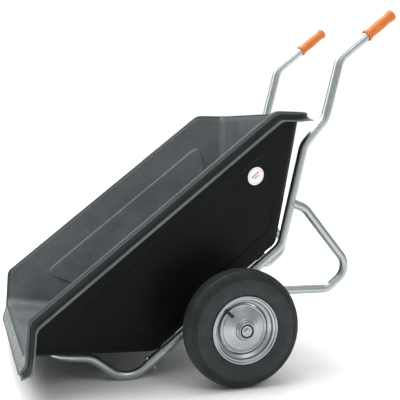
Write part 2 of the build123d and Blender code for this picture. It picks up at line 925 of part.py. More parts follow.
    with BuildPart() as valve_cap:
        with BuildSketch(valve_plane(side, valve_length + valve_cap_lead)):
            Circle(valve_cap_diameter / 2)
        extrude(amount=-valve_cap_length)
        with BuildSketch(valve_plane(side, valve_length)):
            Circle(valve_diameter / 2 + fit_clearance)
        extrude(amount=-valve_cap_length, mode=Mode.SUBTRACT)
    valve_cap.part.label = f"valve_cap_{name}"
    export_step(valve_cap.part, f"parts/valve_cap_{name}.step")
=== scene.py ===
import json
import logging
import math
from dataclasses import dataclass, field
from enum import Enum
from typing import Callable, Optional, Sequence

import bpy
import numpy as np
from mathutils import Matrix, Vector


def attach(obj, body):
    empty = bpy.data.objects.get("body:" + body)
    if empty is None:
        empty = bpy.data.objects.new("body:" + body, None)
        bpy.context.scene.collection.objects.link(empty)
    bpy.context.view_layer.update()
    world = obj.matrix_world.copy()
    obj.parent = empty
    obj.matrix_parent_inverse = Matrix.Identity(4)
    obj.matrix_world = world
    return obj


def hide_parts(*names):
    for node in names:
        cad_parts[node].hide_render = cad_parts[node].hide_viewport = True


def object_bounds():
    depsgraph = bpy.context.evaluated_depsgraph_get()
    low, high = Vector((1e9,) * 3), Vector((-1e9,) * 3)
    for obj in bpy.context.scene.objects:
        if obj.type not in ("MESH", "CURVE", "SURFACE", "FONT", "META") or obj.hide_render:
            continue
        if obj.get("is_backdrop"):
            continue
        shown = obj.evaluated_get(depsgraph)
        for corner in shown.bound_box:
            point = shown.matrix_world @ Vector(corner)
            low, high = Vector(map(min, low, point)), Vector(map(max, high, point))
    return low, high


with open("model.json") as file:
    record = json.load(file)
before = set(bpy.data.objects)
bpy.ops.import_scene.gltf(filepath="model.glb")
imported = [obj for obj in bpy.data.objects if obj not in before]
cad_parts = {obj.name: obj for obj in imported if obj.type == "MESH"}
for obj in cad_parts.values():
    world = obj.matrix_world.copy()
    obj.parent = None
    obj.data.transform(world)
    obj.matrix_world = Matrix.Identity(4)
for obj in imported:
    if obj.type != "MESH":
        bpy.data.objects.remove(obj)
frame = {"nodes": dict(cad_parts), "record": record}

LOG = logging.getLogger("barrow")
Array = np.ndarray
SIDES = (("left", 1.0), ("right", -1.0))
SHARP_ANGLE = math.radians(38)
MIX_FACTOR, MIX_FIRST, MIX_SECOND, MIX_RESULT = 0, 6, 7, 2


# ---------------------------------------------------------------- places

class RimFrame:
    """Frame about the axle in which the tub's rim is level: forward, left and up.

    The barrow stands tipped on its nose, so this frame is turned nose down. Its turn is
    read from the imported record: the mount on the rim gives the direction that is up.
    """

    def __init__(self, record: dict) -> None:
        """Read the frame from the record.

        Args:
            record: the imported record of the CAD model.
        """
        flat = next(m for m in record["mounts"] if m["kind"] == "flat_face")
        spins = [j["pos_m"] for j in record["behaviour"]["joints"]]
        self.axle_height = spins[0][2]
        self.wheel_side = max(abs(pos[1]) for pos in spins)
        self.up = np.array(flat["axis"], float)
        self.forward = np.array([self.up[2], 0.0, -self.up[0]])
        self.left = np.array([0.0, 1.0, 0.0])
        self.origin = np.array([0.0, 0.0, self.axle_height])

    def world(self, forward: Array, left: Array, up: Array) -> Array:
        """World points of rim-frame coordinates.

        Args:
            forward: distances ahead of the axle.
            left: distances left of the middle.
            up: heights over the axle.

        Returns:
            Array of the same shape with a last axis of three.
        """
        parts = np.broadcast_arrays(forward, left, up)
        axes = (self.forward, self.left, self.up)
        return self.origin + sum(part[..., None] * axis for part, axis in zip(parts, axes))


@dataclass(frozen=True)
class Spindle:
    """An axis with two directions across it, for pieces that are turned about it."""

    origin: Array
    axis: Array
    across: Array

    def world(self, radius: Array, angle: Array, along: Array) -> Array:
        """World points of cylindrical coordinates.

        Args:
            radius: distances from the axis.
            angle: angles from the across direction, in radians.
            along: distances along the axis.

        Returns:
            Array of the broadcast shape with a last axis of three.
        """
        radius, angle, along = np.broadcast_arrays(radius, angle, along)
        third = np.cross(self.axis, self.across)
        flat = np.cos(angle)[..., None] * self.across + np.sin(angle)[..., None] * third
        return self.origin + radius[..., None] * flat + along[..., None] * self.axis


# ---------------------------------------------------------------- curves

def rounded_path(points: Sequence, radii: Sequence[float], closed: bool = False,
                 arc_step: float = math.radians(4), run_step: float = 0.02) -> Array:
    """Straight runs joined by tangent arcs, sampled as one smooth row of points.

    Each corner turns on a circle that touches both runs at radius times the tangent of
    half the turn from the corner. Runs are divided evenly.

    Args:
        points: corners of the path, each with two or three coordinates.
        radii: one radius for each inner corner, or for each corner of a closed path.
        closed: whether the last point joins the first.
        arc_step: largest angle between two samples on an arc.
        run_step: largest distance between two samples on a run.

    Returns:
        Sampled points, one per row.
    """
    corners = [np.array(p, float) for p in points]
    count = len(corners)
    bends = dict(zip(range(count) if closed else range(1, count - 1), radii))
    pieces = []
    for i, corner in enumerate(corners):
        if i not in bends:
            pieces.append(corner[None])
            continue
        before = corners[i - 1] - corner
        after = corners[(i + 1) % count] - corner
        before /= np.linalg.norm(before)
        after /= np.linalg.norm(after)
        turn = math.pi - math.acos(np.clip(before @ after, -1, 1))
        touch = bends[i] * math.tan(turn / 2)
        middle = before + after
        middle /= np.linalg.norm(middle)
        centre = corner + middle * bends[i] / math.cos(turn / 2)
        steps = max(2, int(math.ceil(turn / arc_step)) + 1)
        share = np.linspace(-0.5, 0.5, steps)[:, None] * turn
        side = (after - before) / np.linalg.norm(after - before)
        arc = centre - bends[i] * (middle * np.cos(share) - side * np.sin(share))
        if touch > 0:
            pieces.append(arc)
    out = [pieces[0]]
    followers = pieces[1:] + ([pieces[0][:1]] if closed else [])
    for piece in followers:
        start, end = out[-1][-1], piece[0]
        runs = max(1, int(np.linalg.norm(end - start) / run_step))
        out.append(start + np.linspace(0, 1, runs + 1)[1:-1, None] * (end - start))
        out.append(piece)
    path = np.concatenate([piece for piece in out if len(piece)])
    return path[:-1] if closed else path


def smooth_profile(points: Sequence, count: int) -> Array:
    """Smooth open curve through points, by a Catmull-Rom blend, evenly spaced in index.

    Args:
        points: the points that it passes through.
        count: samples between two neighbouring points.

    Returns:
        Sampled points, one per row.
    """
    base = np.array(points, float)
    ends = np.vstack([2 * base[0] - base[1], base, 2 * base[-1] - base[-2]])
    t = np.linspace(0, 1, count, endpoint=False)[None, :, None]
    p0, p1, p2, p3 = (ends[k:len(ends) - 3 + k, None] for k in range(4))
    curve = 0.5 * (2 * p1 + (p2 - p0) * t + (2 * p0 - 5 * p1 + 4 * p2 - p3) * t ** 2
                   + (3 * p1 - p0 - 3 * p2 + p3) * t ** 3)
    return np.vstack([curve.reshape(-1, base.shape[1]), base[-1]])


def clustered(marks: Sequence[float], wide: float, fine: float, reach: float) -> Array:
    """Places from 0 to 1 that lie closer together round some marks.

    The wished spacing is fine within reach of a mark and wide elsewhere; its reciprocal
    is added up along the way and divided evenly.

    Args:
        marks: places with close spacing.
        wide: spacing elsewhere.
        fine: spacing at the marks.
        reach: distance from a mark over which the spacing stays fine.

    Returns:
        Rising places that start at 0 and end at 1.
    """
    dense = np.linspace(0, 1, 4001)
    near = np.min(np.abs(dense[:, None] - np.array(marks)[None]), axis=1)
    spacing = np.where(near < reach, fine, wide)
    amount = np.concatenate([[0], np.cumsum(1 / spacing[1:])]) / 4000
    total = max(2, int(round(amount[-1])))
    return np.interp(np.linspace(0, amount[-1], total + 1), amount, dense)


def smooth_step(x: Array) -> Array:
    """Rise from 0 to 1 as x goes from 0 to 1, level at both ends."""
    x = np.clip(x, 0, 1)
    return x * x * (3 - 2 * x)


def pulse(x: Array, place: float, wide: float, power: int) -> Array:
    """Hump of height 1 about a place: the exponential of minus a power of the distance."""
    return np.exp(-((x - place) / wide) ** power)


def square_to(profile: Array) -> Array:
    """Unit directions square to a flat profile, to the left of its way."""
    along = np.gradient(profile, axis=0)
    along /= np.linalg.norm(along, axis=1, keepdims=True)
    return np.stack([-along[:, 1], along[:, 0]], -1)


# ---------------------------------------------------------------- meshes

class Piece:
    """Builds one visible piece from grids of points and puts it in the scene."""

    def __init__(self, name: str) -> None:
        """Start an empty piece.

        Args:
            name: object name, made of plain words.
        """
        self.name = name
        self.points: list[Array] = []
        self.faces: list[Array] = []
        self.slots: list[Array] = []
        self.uv: list[Array] = []
        self.count = 0

    def grid(self, points: Array, wrap_rows: bool = False, wrap_columns: bool = False,
             cap_start: bool = False, cap_end: bool = False,
             slots: Optional[Array] = None) -> "Piece":
        """Add a surface given as a grid of points.

        Quads join each point to its neighbours in the next row and column. A cap closes
        the first or last row with a fan round the row's mean. The faces turn so that the
        volume they hold, summed as the triple products of their corners, is positive.

        Args:
            points: rows by columns by three coordinates.
            wrap_rows: whether the last row joins the first.
            wrap_columns: whether the last column joins the first.
            cap_start: whether the first row is closed.
            cap_end: whether the last row is closed.
            slots: material slot for each row of faces, instead of the first for all.

        Returns:
            The piece itself.
        """
        rows, columns = points.shape[:2]
        index = np.arange(rows * columns).reshape(rows, columns) + self.count
        if wrap_rows:
            index = np.vstack([index, index[:1]])
        if wrap_columns:
            index = np.hstack([index, index[:, :1]])
        quads = np.stack([index[:-1, :-1], index[:-1, 1:], index[1:, 1:], index[1:, :-1]], -1)
        each = np.zeros(len(quads), int) if slots is None else slots
        made = np.repeat(each[:, None], quads.shape[1], axis=1)
        v = np.linspace(0, 1, rows)[:, None].repeat(columns, 1)
        u = np.linspace(0, 1, columns)[None].repeat(rows, 0)
        self.points.append(points.reshape(-1, 3))
        self.uv.append(np.stack([u, v], -1).reshape(-1, 2))
        self.count += rows * columns
        parts = [quads.reshape(-1, 4)]
        for row, on, backwards in ((0, cap_start, True), (-1, cap_end, False)):
            if on:
                ring = index[row]
                self.points.append(points[row].mean(axis=0)[None])
                self.uv.append(np.array([[0.5, 0.5]]))
                here, there = (ring[1:], ring[:-1]) if backwards else (ring[:-1], ring[1:])
                middle = np.full_like(here, self.count)
                parts.append(np.stack([here, there, middle, middle], -1))
                made = np.append(made, np.full(len(here), made.flat[0 if backwards else -1]))
                self.count += 1
        faces = np.concatenate(parts)
        every = np.concatenate(self.points)
        corner = every[faces] - every[faces].mean(axis=(0, 1))
        triples = (corner[:, 0] * np.cross(corner[:, a], corner[:, a + 1]) for a in (1, 2))
        volume = sum(triple.sum() for triple in triples)
        self.faces.append(faces[:, ::-1] if volume < 0 else faces)
        self.slots.append(made.reshape(-1))
        return self

    def finish(self, body: str, materials: Sequence, slot: str,
               replaces: Sequence[str] = ()) -> bpy.types.Object:
        """Make the object, dress it and let it ride.

        Args:
            body: CAD body that it moves with.
            materials: materials of its slots, in order.
            slot: the record's material slot; not used.
            replaces: CAD nodes that it stands for.

        Returns:
            The finished object.
        """
        faces = np.concatenate(self.faces)
        fan = faces[:, 2] == faces[:, 3]
        fan_first = faces[:, 0] == faces[:, 1]
        lengths = np.where(fan | fan_first, 3, 4)
        keep = np.ones(faces.shape, bool)
        keep[fan, 3] = False
        keep[fan_first, 1] = False
        loops = faces[keep]
        starts = np.concatenate([[0], np.cumsum(lengths)[:-1]])
        mesh = bpy.data.meshes.new(self.name)
        points = np.concatenate(self.points)
        mesh.vertices.add(len(points))
        mesh.vertices.foreach_set("co", points.astype(np.float32).ravel())
        mesh.loops.add(len(loops))
        mesh.loops.foreach_set("vertex_index", loops.astype(np.int32))
        mesh.polygons.add(len(faces))
        mesh.polygons.foreach_set("loop_start", starts.astype(np.int32))
        mesh.polygons.foreach_set("material_index", np.concatenate(self.slots).astype(np.int32))
        mesh.polygons.foreach_set("use_smooth", np.ones(len(faces), bool))
        mesh.update(calc_edges=True)
        mesh.validate()
        layer = mesh.uv_layers.new(name="UVMap")
        used = np.zeros(len(mesh.loops), np.int32)
        mesh.loops.foreach_get("vertex_index", used)
        layer.data.foreach_set("uv", np.concatenate(self.uv)[used].astype(np.float32).ravel())
        piece = bpy.data.objects.new(self.name, mesh)
        bpy.context.scene.collection.objects.link(piece)
        for material in materials:
            mesh.materials.append(material)
        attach(piece, body)
        if replaces:
            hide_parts(*replaces)
        LOG.info("%s: %d faces on %s", self.name, len(faces), body)
        return piece


def turned(piece: Piece, spindle: Spindle, profile: Array, segments: int,
           closed: bool = False, **grid: bool) -> Piece:
    """Add a profile carried round a spindle.

    Args:
        piece: piece that it is added to.
        spindle: axis of the turning.
        profile: rows of radius and distance along the axis.
        segments: faces round the axis.
        closed: whether the profile's last row joins its first.
        grid: further choices of the grid, such as caps.

    Returns:
        The piece itself.
    """
    angle = np.linspace(0, 2 * math.pi, segments, endpoint=False)[None]
    points = spindle.world(profile[:, :1], angle, profile[:, 1:2])
    return piece.grid(points, wrap_rows=closed, wrap_columns=True, **grid)


def round_sections(stations: Array, along: Array, guide: Array, radii: Array,
                   segments: int) -> Array:
    """Points of round sections that stand across a path.

    At each station the first direction is the guide less its part along the path, so
    the guide is never along the path. The second is square to both.

    Args:
        stations: middles of the sections, one per row.
        along: unit directions of the path there.
        guide: direction that the sections are turned from, one or one for each station.
        radii: radius of each section.
        segments: points round a section.

    Returns:
        Stations by segments by three coordinates.
    """
    first = guide - (guide * along).sum(axis=1, keepdims=True) * along
    first /= np.linalg.norm(first, axis=1, keepdims=True)
    second = np.cross(along, first)
    angle = np.linspace(0, 2 * math.pi, segments, endpoint=False)[None, :, None]
    ring = np.cos(angle) * first[:, None] + np.sin(angle) * second[:, None]
    return stations[:, None] + radii[:, None, None] * ring


# ---------------------------------------------------------------- materials

def math_method(operation: str, backwards: bool = False) -> Callable:
    """Arithmetic method of a value, done by a Math node.

    Args:
        operation: the node's operation.
        backwards: whether the other value comes first.

    Returns:
        The method.
    """
    def method(self: "Value", *other) -> "Value":
        """Value of the node."""
        terms = (*other, self) if backwards else (self, *other)
        return self.tree.node("ShaderNodeMath", {"operation": operation}, dict(enumerate(terms)))
    return method


class Value:
    """A socket of a shader tree that can be used in arithmetic."""

    def __init__(self, tree: "Shader", socket: bpy.types.NodeSocket) -> None:
        """Wrap a socket."""
        self.tree = tree
        self.socket = socket

    __add__ = __radd__ = math_method("ADD")
    __mul__ = __rmul__ = math_method("MULTIPLY")
    __sub__, __rsub__ = math_method("SUBTRACT"), math_method("SUBTRACT", backwards=True)
    __pow__, __abs__ = math_method("POWER"), math_method("ABSOLUTE")
    __gt__, __lt__ = math_method("GREATER_THAN"), math_method("LESS_THAN")

    def ramp(self, low: float, high: float, start: float = 0.0, end: float = 1.0) -> "Value":
        """Smooth change from start to end as the value goes from low to high.

        Args:
            low: value at which the change begins.
            high: value at which it ends.
            start: result at and before low.
            end: result at and after high.

        Returns:
            The changed value.
        """
        limits = dict(enumerate((self, low, high, start, end)))
        return self.tree.node("ShaderNodeMapRange", {"interpolation_type": "SMOOTHSTEP"}, limits)


class Shader:
    """Node tree of one material, built from expressions."""

    def __init__(self, name: str) -> None:
        """Make an empty material.

        Args:
            name: the material's name.
        """
        self.material = bpy.data.materials.new(name)
        self.material.use_nodes = True
        self.nodes = self.material.node_tree.nodes
        self.nodes.clear()

    def node(self, kind: str, settings: Optional[dict] = None, values: Optional[dict] = None,
             output=0) -> Value:
        """Add a node of any kind.

        Args:
            kind: the node's type.
            settings: its own properties, set before its sockets.
            values: numbers, colours or links for its sockets, by index or name.
            output: index or name of the socket that is returned.

        Returns:
            The output socket, wrapped.
        """
        node = self.nodes.new(kind)
        for key, setting in (settings or {}).items():
            setattr(node, key, setting)
        for key, value in (values or {}).items():
            if isinstance(value, Value):
                self.material.node_tree.links.new(value.socket, node.inputs[key])
            elif value is not None:
                node.inputs[key].default_value = value
        return Value(self, node.outputs[output])

    def place(self, scale: Sequence[float] = (1, 1, 1), turn: Sequence[float] = (0, 0, 0)) -> Value:
        """Object coordinates in metres, scaled and turned.

        Args:
            scale: factors along the three axes.
            turn: angles about the three axes, in radians.

        Returns:
            The mapped coordinates.
        """
        point = self.node("ShaderNodeTexCoord", output="Object")
        return self.node("ShaderNodeMapping", {"vector_type": "POINT"},
                         {"Vector": point, "Scale": tuple(scale), "Rotation": tuple(turn)})

    def noise(self, where: Value, scale: float, detail: float = 3.0, roughness: float = 0.55,
              distortion: float = 0.0) -> Value:
        """Cloudy value about a half.

        Args:
            where: coordinates.
            scale: patches to the metre.
            detail: octaves.
            roughness: share of each finer octave.
            distortion: how far the clouds are dragged.

        Returns:
            The noise value.
        """
        values = {"Vector": where, "Scale": scale, "Detail": detail, "Roughness": roughness,
                  "Distortion": distortion}
        return self.node("ShaderNodeTexNoise", None, values)

    def parts(self, where: Value) -> tuple[Value, Value, Value]:
        """The three numbers of a vector."""
        node = self.nodes.new("ShaderNodeSeparateXYZ")
        self.material.node_tree.links.new(where.socket, node.inputs[0])
        return tuple(Value(self, socket) for socket in node.outputs)

    def mix(self, share: Value, first, second) -> Value:
        """Colour between two colours.

        Args:
            share: 0 for the first, 1 for the second.
            first: colour or value.
            second: colour or value.

        Returns:
            The mixed colour.
        """
        first, second = (c if isinstance(c, Value) else (*c, 1.0) for c in (first, second))
        sockets = {MIX_FACTOR: share, MIX_FIRST: first, MIX_SECOND: second}
        return self.node("ShaderNodeMix", {"data_type": "RGBA"}, sockets, MIX_RESULT)

    def bump(self, height: Value, distance: float, strength: float) -> Value:
        """Normal of a surface raised by a height.

        Args:
            height: raised amount, as a share of the distance.
            distance: metres for a height of one.
            strength: share of the effect.

        Returns:
            The bumped normal.
        """
        values = {"Height": height, "Distance": distance, "Strength": strength}
        return self.node("ShaderNodeBump", None, values)

    def surface(self, **sockets) -> bpy.types.Material:
        """Close the tree with a Principled shader.

        Args:
            sockets: its inputs, with underscores for spaces.

        Returns:
            The finished material.
        """
        values = {}
        for name, value in sockets.items():
            colour = isinstance(value, tuple) and len(value) == 3
            values[name.replace("_", " ")] = (*value, 1.0) if colour else value
        shader = self.node("ShaderNodeBsdfPrincipled", None, values)
        end = self.nodes.new("ShaderNodeOutputMaterial")
        self.material.node_tree.links.new(shader.socket, end.inputs["Surface"])
        return self.material


@dataclass(frozen=True)
class TubPlastic:
    """Rotation-moulded plastic: faint orange peel, dusty streaks and a satin shine."""

    name: str
    light: tuple
    dark: tuple
    roughness: float
    scratches: float
    shine: float = 0.42

    def make(self) -> bpy.types.Material:
        """Material of one face of the tub."""
        tree = Shader(self.name)
        where = tree.place()
        clouds = tree.noise(where, 6, 5, 0.6)
        blotches = tree.noise(where, 28, 4, 0.6, 0.4)
        peel = tree.noise(where, 420, 2, 0.5)
        fine = tree.noise(where, 1900, 2, 0.6)
        drag = tree.noise(tree.place((4, 30, 160), (0.3, 0.7, 0.2)), 3, 4, 0.7, 0.6)
        marks = drag.ramp(0.60, 0.72) * self.scratches
        share = clouds.ramp(0.35, 0.65) * 0.6 + blotches.ramp(0.4, 0.7) * 0.4
        colour = tree.mix(share, self.dark, self.light)
        pale = tuple(min(1.0, c * 1.6 + 0.02) for c in self.light)
        colour = tree.mix(marks, colour, pale)
        normal = tree.bump(peel * 0.75 + fine * 0.25, 0.00022, 0.6)
        satin = blotches.ramp(0.3, 0.7, -0.06, 0.08)
        return tree.surface(Base_Color=colour, Normal=normal, Specular_IOR_Level=self.shine,
                            Roughness=self.roughness + satin + marks * 0.1)


@dataclass(frozen=True)
class TyreRubber:
    """Black rubber with a grey bloom, fine mould grain and patches of dust."""

    name: str = "tyre rubber"
    base: tuple = (0.009, 0.012, 0.012)
    bloom: tuple = (0.024, 0.031, 0.031)

    def make(self) -> bpy.types.Material:
        """Material of the tyres."""
        tree = Shader(self.name)
        where = tree.place()
        clouds = tree.noise(where, 18, 5, 0.6)
        grain = tree.noise(where, 900, 3, 0.6)
        dust = tree.noise(where, 70, 4, 0.7, 0.5)
        share = clouds.ramp(0.3, 0.7) * 0.7 + dust.ramp(0.5, 0.8) * 0.3
        colour = tree.mix(share, self.base, self.bloom)
        normal = tree.bump(grain, 0.0002, 0.5)
        return tree.surface(Base_Color=colour, Normal=normal, Specular_IOR_Level=0.4,
                            Roughness=0.52 + dust.ramp(0.3, 0.8, -0.05, 0.14))


@dataclass(frozen=True)
class SmoothRubber:
    """Plain moulded rubber or plastic in one colour family."""

    name: str
    base: tuple
    worn: tuple
    roughness: float
    grain: float = 700.0

    def make(self) -> bpy.types.Material:
        """Material of small rubber and plastic parts."""
        tree = Shader(self.name)
        where = tree.place()
        clouds = tree.noise(where, 45, 4, 0.6)
        grain = tree.noise(where, self.grain, 2, 0.5)
        colour = tree.mix(clouds.ramp(0.35, 0.7), self.base, self.worn)
        normal = tree.bump(grain, 0.00015, 0.5)
        return tree.surface(Base_Color=colour, Normal=normal, Specular_IOR_Level=0.4,
                            Roughness=self.roughness + clouds.ramp(0.3, 0.7, -0.05, 0.08))


@dataclass(frozen=True)
class GripFoam:
    """Soft orange grip with a fine cellular skin and darker handling marks."""

    name: str = "orange grip"
    base: tuple = (0.56, 0.155, 0.030)
    light: tuple = (0.64, 0.20, 0.045)
    dirty: tuple = (0.40, 0.12, 0.035)

    def make(self) -> bpy.types.Material:
        """Material of the grips."""
        tree = Shader(self.name)
        where = tree.place()
        clouds = tree.noise(where, 38, 4, 0.6)
        grain = tree.noise(where, 1400, 3, 0.65)
        cells = tree.node("ShaderNodeTexVoronoi", {"feature": "F1"},
                          {"Vector": where, "Scale": 900.0})
        grime = tree.noise(where, 90, 5, 0.7, 0.6)
        colour = tree.mix(clouds.ramp(0.3, 0.7), self.base, self.light)
        colour = tree.mix(grime.ramp(0.60, 0.85) * 0.22, colour, self.dirty)
        normal = tree.bump(cells * 0.6 + grain * 0.4, 0.00012, 0.3)
        return tree.surface(Base_Color=colour, Normal=normal, Specular_IOR_Level=0.35,
                            Roughness=0.62 + clouds.ramp(0.3, 0.7, -0.06, 0.08))


@dataclass(frozen=True)
class Galvanised:
    """Bright zinc coat: faint spangle, streaks of dull oxide and fine drawing lines."""

    name: str = "galvanised tube"
    base: tuple = (0.43, 0.46, 0.46)
    dull: tuple = (0.37, 0.40, 0.40)
    roughness: float = 0.33
    spangle: float = 60.0

    def make(self) -> bpy.types.Material:
        """Material of the tubes."""
        tree = Shader(self.name)
        where = tree.place()
        flakes = tree.node("ShaderNodeTexVoronoi", {"feature": "F1"},
                           {"Vector": where, "Scale": self.spangle, "Randomness": 1.0}, "Color")
        flake = tree.parts(flakes)[0]
        clouds = tree.noise(where, 14, 5, 0.62, 0.3)
        fine = tree.noise(where, 520, 3, 0.6)
        share = clouds.ramp(0.42, 0.72) * 0.5 + flake * 0.04
        colour = tree.mix(share, self.base, self.dull)
        normal = tree.bump(fine * 0.5 + flake * 0.5, 0.000008, 0.1)
        metal = 0.95 - clouds.ramp(0.5, 0.8) * 0.10
        dull = clouds.ramp(0.35, 0.75, -0.02, 0.06)
        return tree.surface(Base_Color=colour, Normal=normal, Metallic=metal,
                            Roughness=self.roughness + dull + flake * 0.02)


@dataclass(frozen=True)
class SilverPaint:
    """Silver spray on pressed steel: metal flakes under a thin clear coat."""

    name: str = "wheel silver"
    base: tuple = (0.44, 0.45, 0.47)
    shade: tuple = (0.36, 0.37, 0.39)

    def make(self) -> bpy.types.Material:
        """Material of the rims and discs."""
        tree = Shader(self.name)
        where = tree.place()
        flakes = tree.node("ShaderNodeTexVoronoi", {"feature": "F1"},
                           {"Vector": where, "Scale": 1600.0}, "Color")
        flake = tree.parts(flakes)[1]
        clouds = tree.noise(where, 24, 4, 0.6)
        peel = tree.noise(where, 300, 2, 0.5)
        colour = tree.mix(clouds.ramp(0.35, 0.7) * 0.55 + flake * 0.35, self.base, self.shade)
        normal = tree.bump(peel * 0.7 + flake * 0.3, 0.00007, 0.4)
        return tree.surface(Base_Color=colour, Normal=normal, Metallic=0.90,
                            Roughness=0.30 + clouds.ramp(0.3, 0.7, -0.04, 0.08) + flake * 0.06,
                            Coat_Weight=0.25, Coat_Roughness=0.2)


@dataclass(frozen=True)
class PlatedSteel:
    """Zinc plated or ground steel: small brushed marks and a little yellow bloom."""

    name: str
    base: tuple
    bloom: tuple
    roughness: float

    def make(self) -> bpy.types.Material:
        """Material of fasteners and turned parts."""
        tree = Shader(self.name)
        where = tree.place()
        clouds = tree.noise(where, 80, 4, 0.6)
        scratch = tree.noise(tree.place((60, 900, 60)), 2, 3, 0.6)
        colour = tree.mix(clouds.ramp(0.4, 0.75), self.base, self.bloom)
        normal = tree.bump(scratch, 0.00005, 0.4)
        return tree.surface(Base_Color=colour, Normal=normal, Metallic=1.0,
                            Roughness=self.roughness + scratch.ramp(0.3, 0.7, -0.05, 0.10))


@dataclass(frozen=True)
class WeldBead:
    """Zinc-sprayed weld metal with fine ripples."""

    name: str = "weld"

    def make(self) -> bpy.types.Material:
        """Material of the weld beads."""
        tree = Shader(self.name)
        where = tree.place()
        clouds = tree.noise(where, 120, 4, 0.7)
        ripple = tree.noise(where, 600, 3, 0.6)
        colour = tree.mix(clouds.ramp(0.35, 0.7), (0.46, 0.48, 0.48), (0.28, 0.29, 0.29))
        normal = tree.bump(ripple, 0.0003, 0.6)
        return tree.surface(Base_Color=colour, Normal=normal, Metallic=0.75,
                            Roughness=0.42 + clouds.ramp(0.3, 0.7, -0.06, 0.14))


@dataclass(frozen=True)
class Sticker:
    """White gloss sticker with a plain ring and three bars, and no words.

    The pattern is laid out in the sticker's own map: its middle is (0.5, 0.5) and its
    edge lies half a unit away.
    """

    name: str = "label"
    paper: tuple = (0.84, 0.85, 0.86)
    ring: tuple = (0.34, 0.37, 0.39)
    accent: tuple = (0.78, 0.22, 0.03)
    ink: tuple = (0.03, 0.035, 0.04)

    def make(self) -> bpy.types.Material:
        """Material of the label."""
        tree = Shader(self.name)
        u, v, _ = tree.parts(tree.node("ShaderNodeTexCoord", output="UV"))
        x, y = u - 0.5, v - 0.5
        reach = (x * x + y * y) ** 0.5
        colour = tree.mix(band(reach, 0.405, 0.425), self.paper, self.ring)
        colour = tree.mix(bar(x, y, 0.0, 0.09, 0.26, 0.045), colour, self.accent)
        colour = tree.mix(bar(x, y, -0.03, -0.035, 0.20, 0.014), colour, self.ink)
        colour = tree.mix(bar(x, y, 0.03, -0.105, 0.17, 0.014), colour, self.ink)
        clouds = tree.noise(tree.place(), 60, 3)
        colour = tree.mix(clouds.ramp(0.5, 0.9) * 0.25, colour, (0.55, 0.56, 0.57))
        return tree.surface(Base_Color=colour, Roughness=clouds.ramp(0.3, 0.7, 0.16, 0.28),
                            Specular_IOR_Level=0.5)


def band(value: Value, low: float, high: float) -> Value:
    """1 between two limits and 0 outside them."""
    return (value > low) * (value < high)


def bar(x: Value, y: Value, middle_x: float, middle_y: float, half_x: float,
        half_y: float) -> Value:
    """1 in a level bar about a middle and 0 outside it."""
    return (abs(x - middle_x) < half_x) * (abs(y - middle_y) < half_y)


# ---------------------------------------------------------------- tub

class TubSlot(Enum):
    """Material slots of the tub's mesh: each holds a lighter or darker copy of one plastic, as
    painted light and shade.
    """

    INSIDE = 0
    RIM = 1
    OUTSIDE = 2
    SKIRT = 3
    EDGE = 4


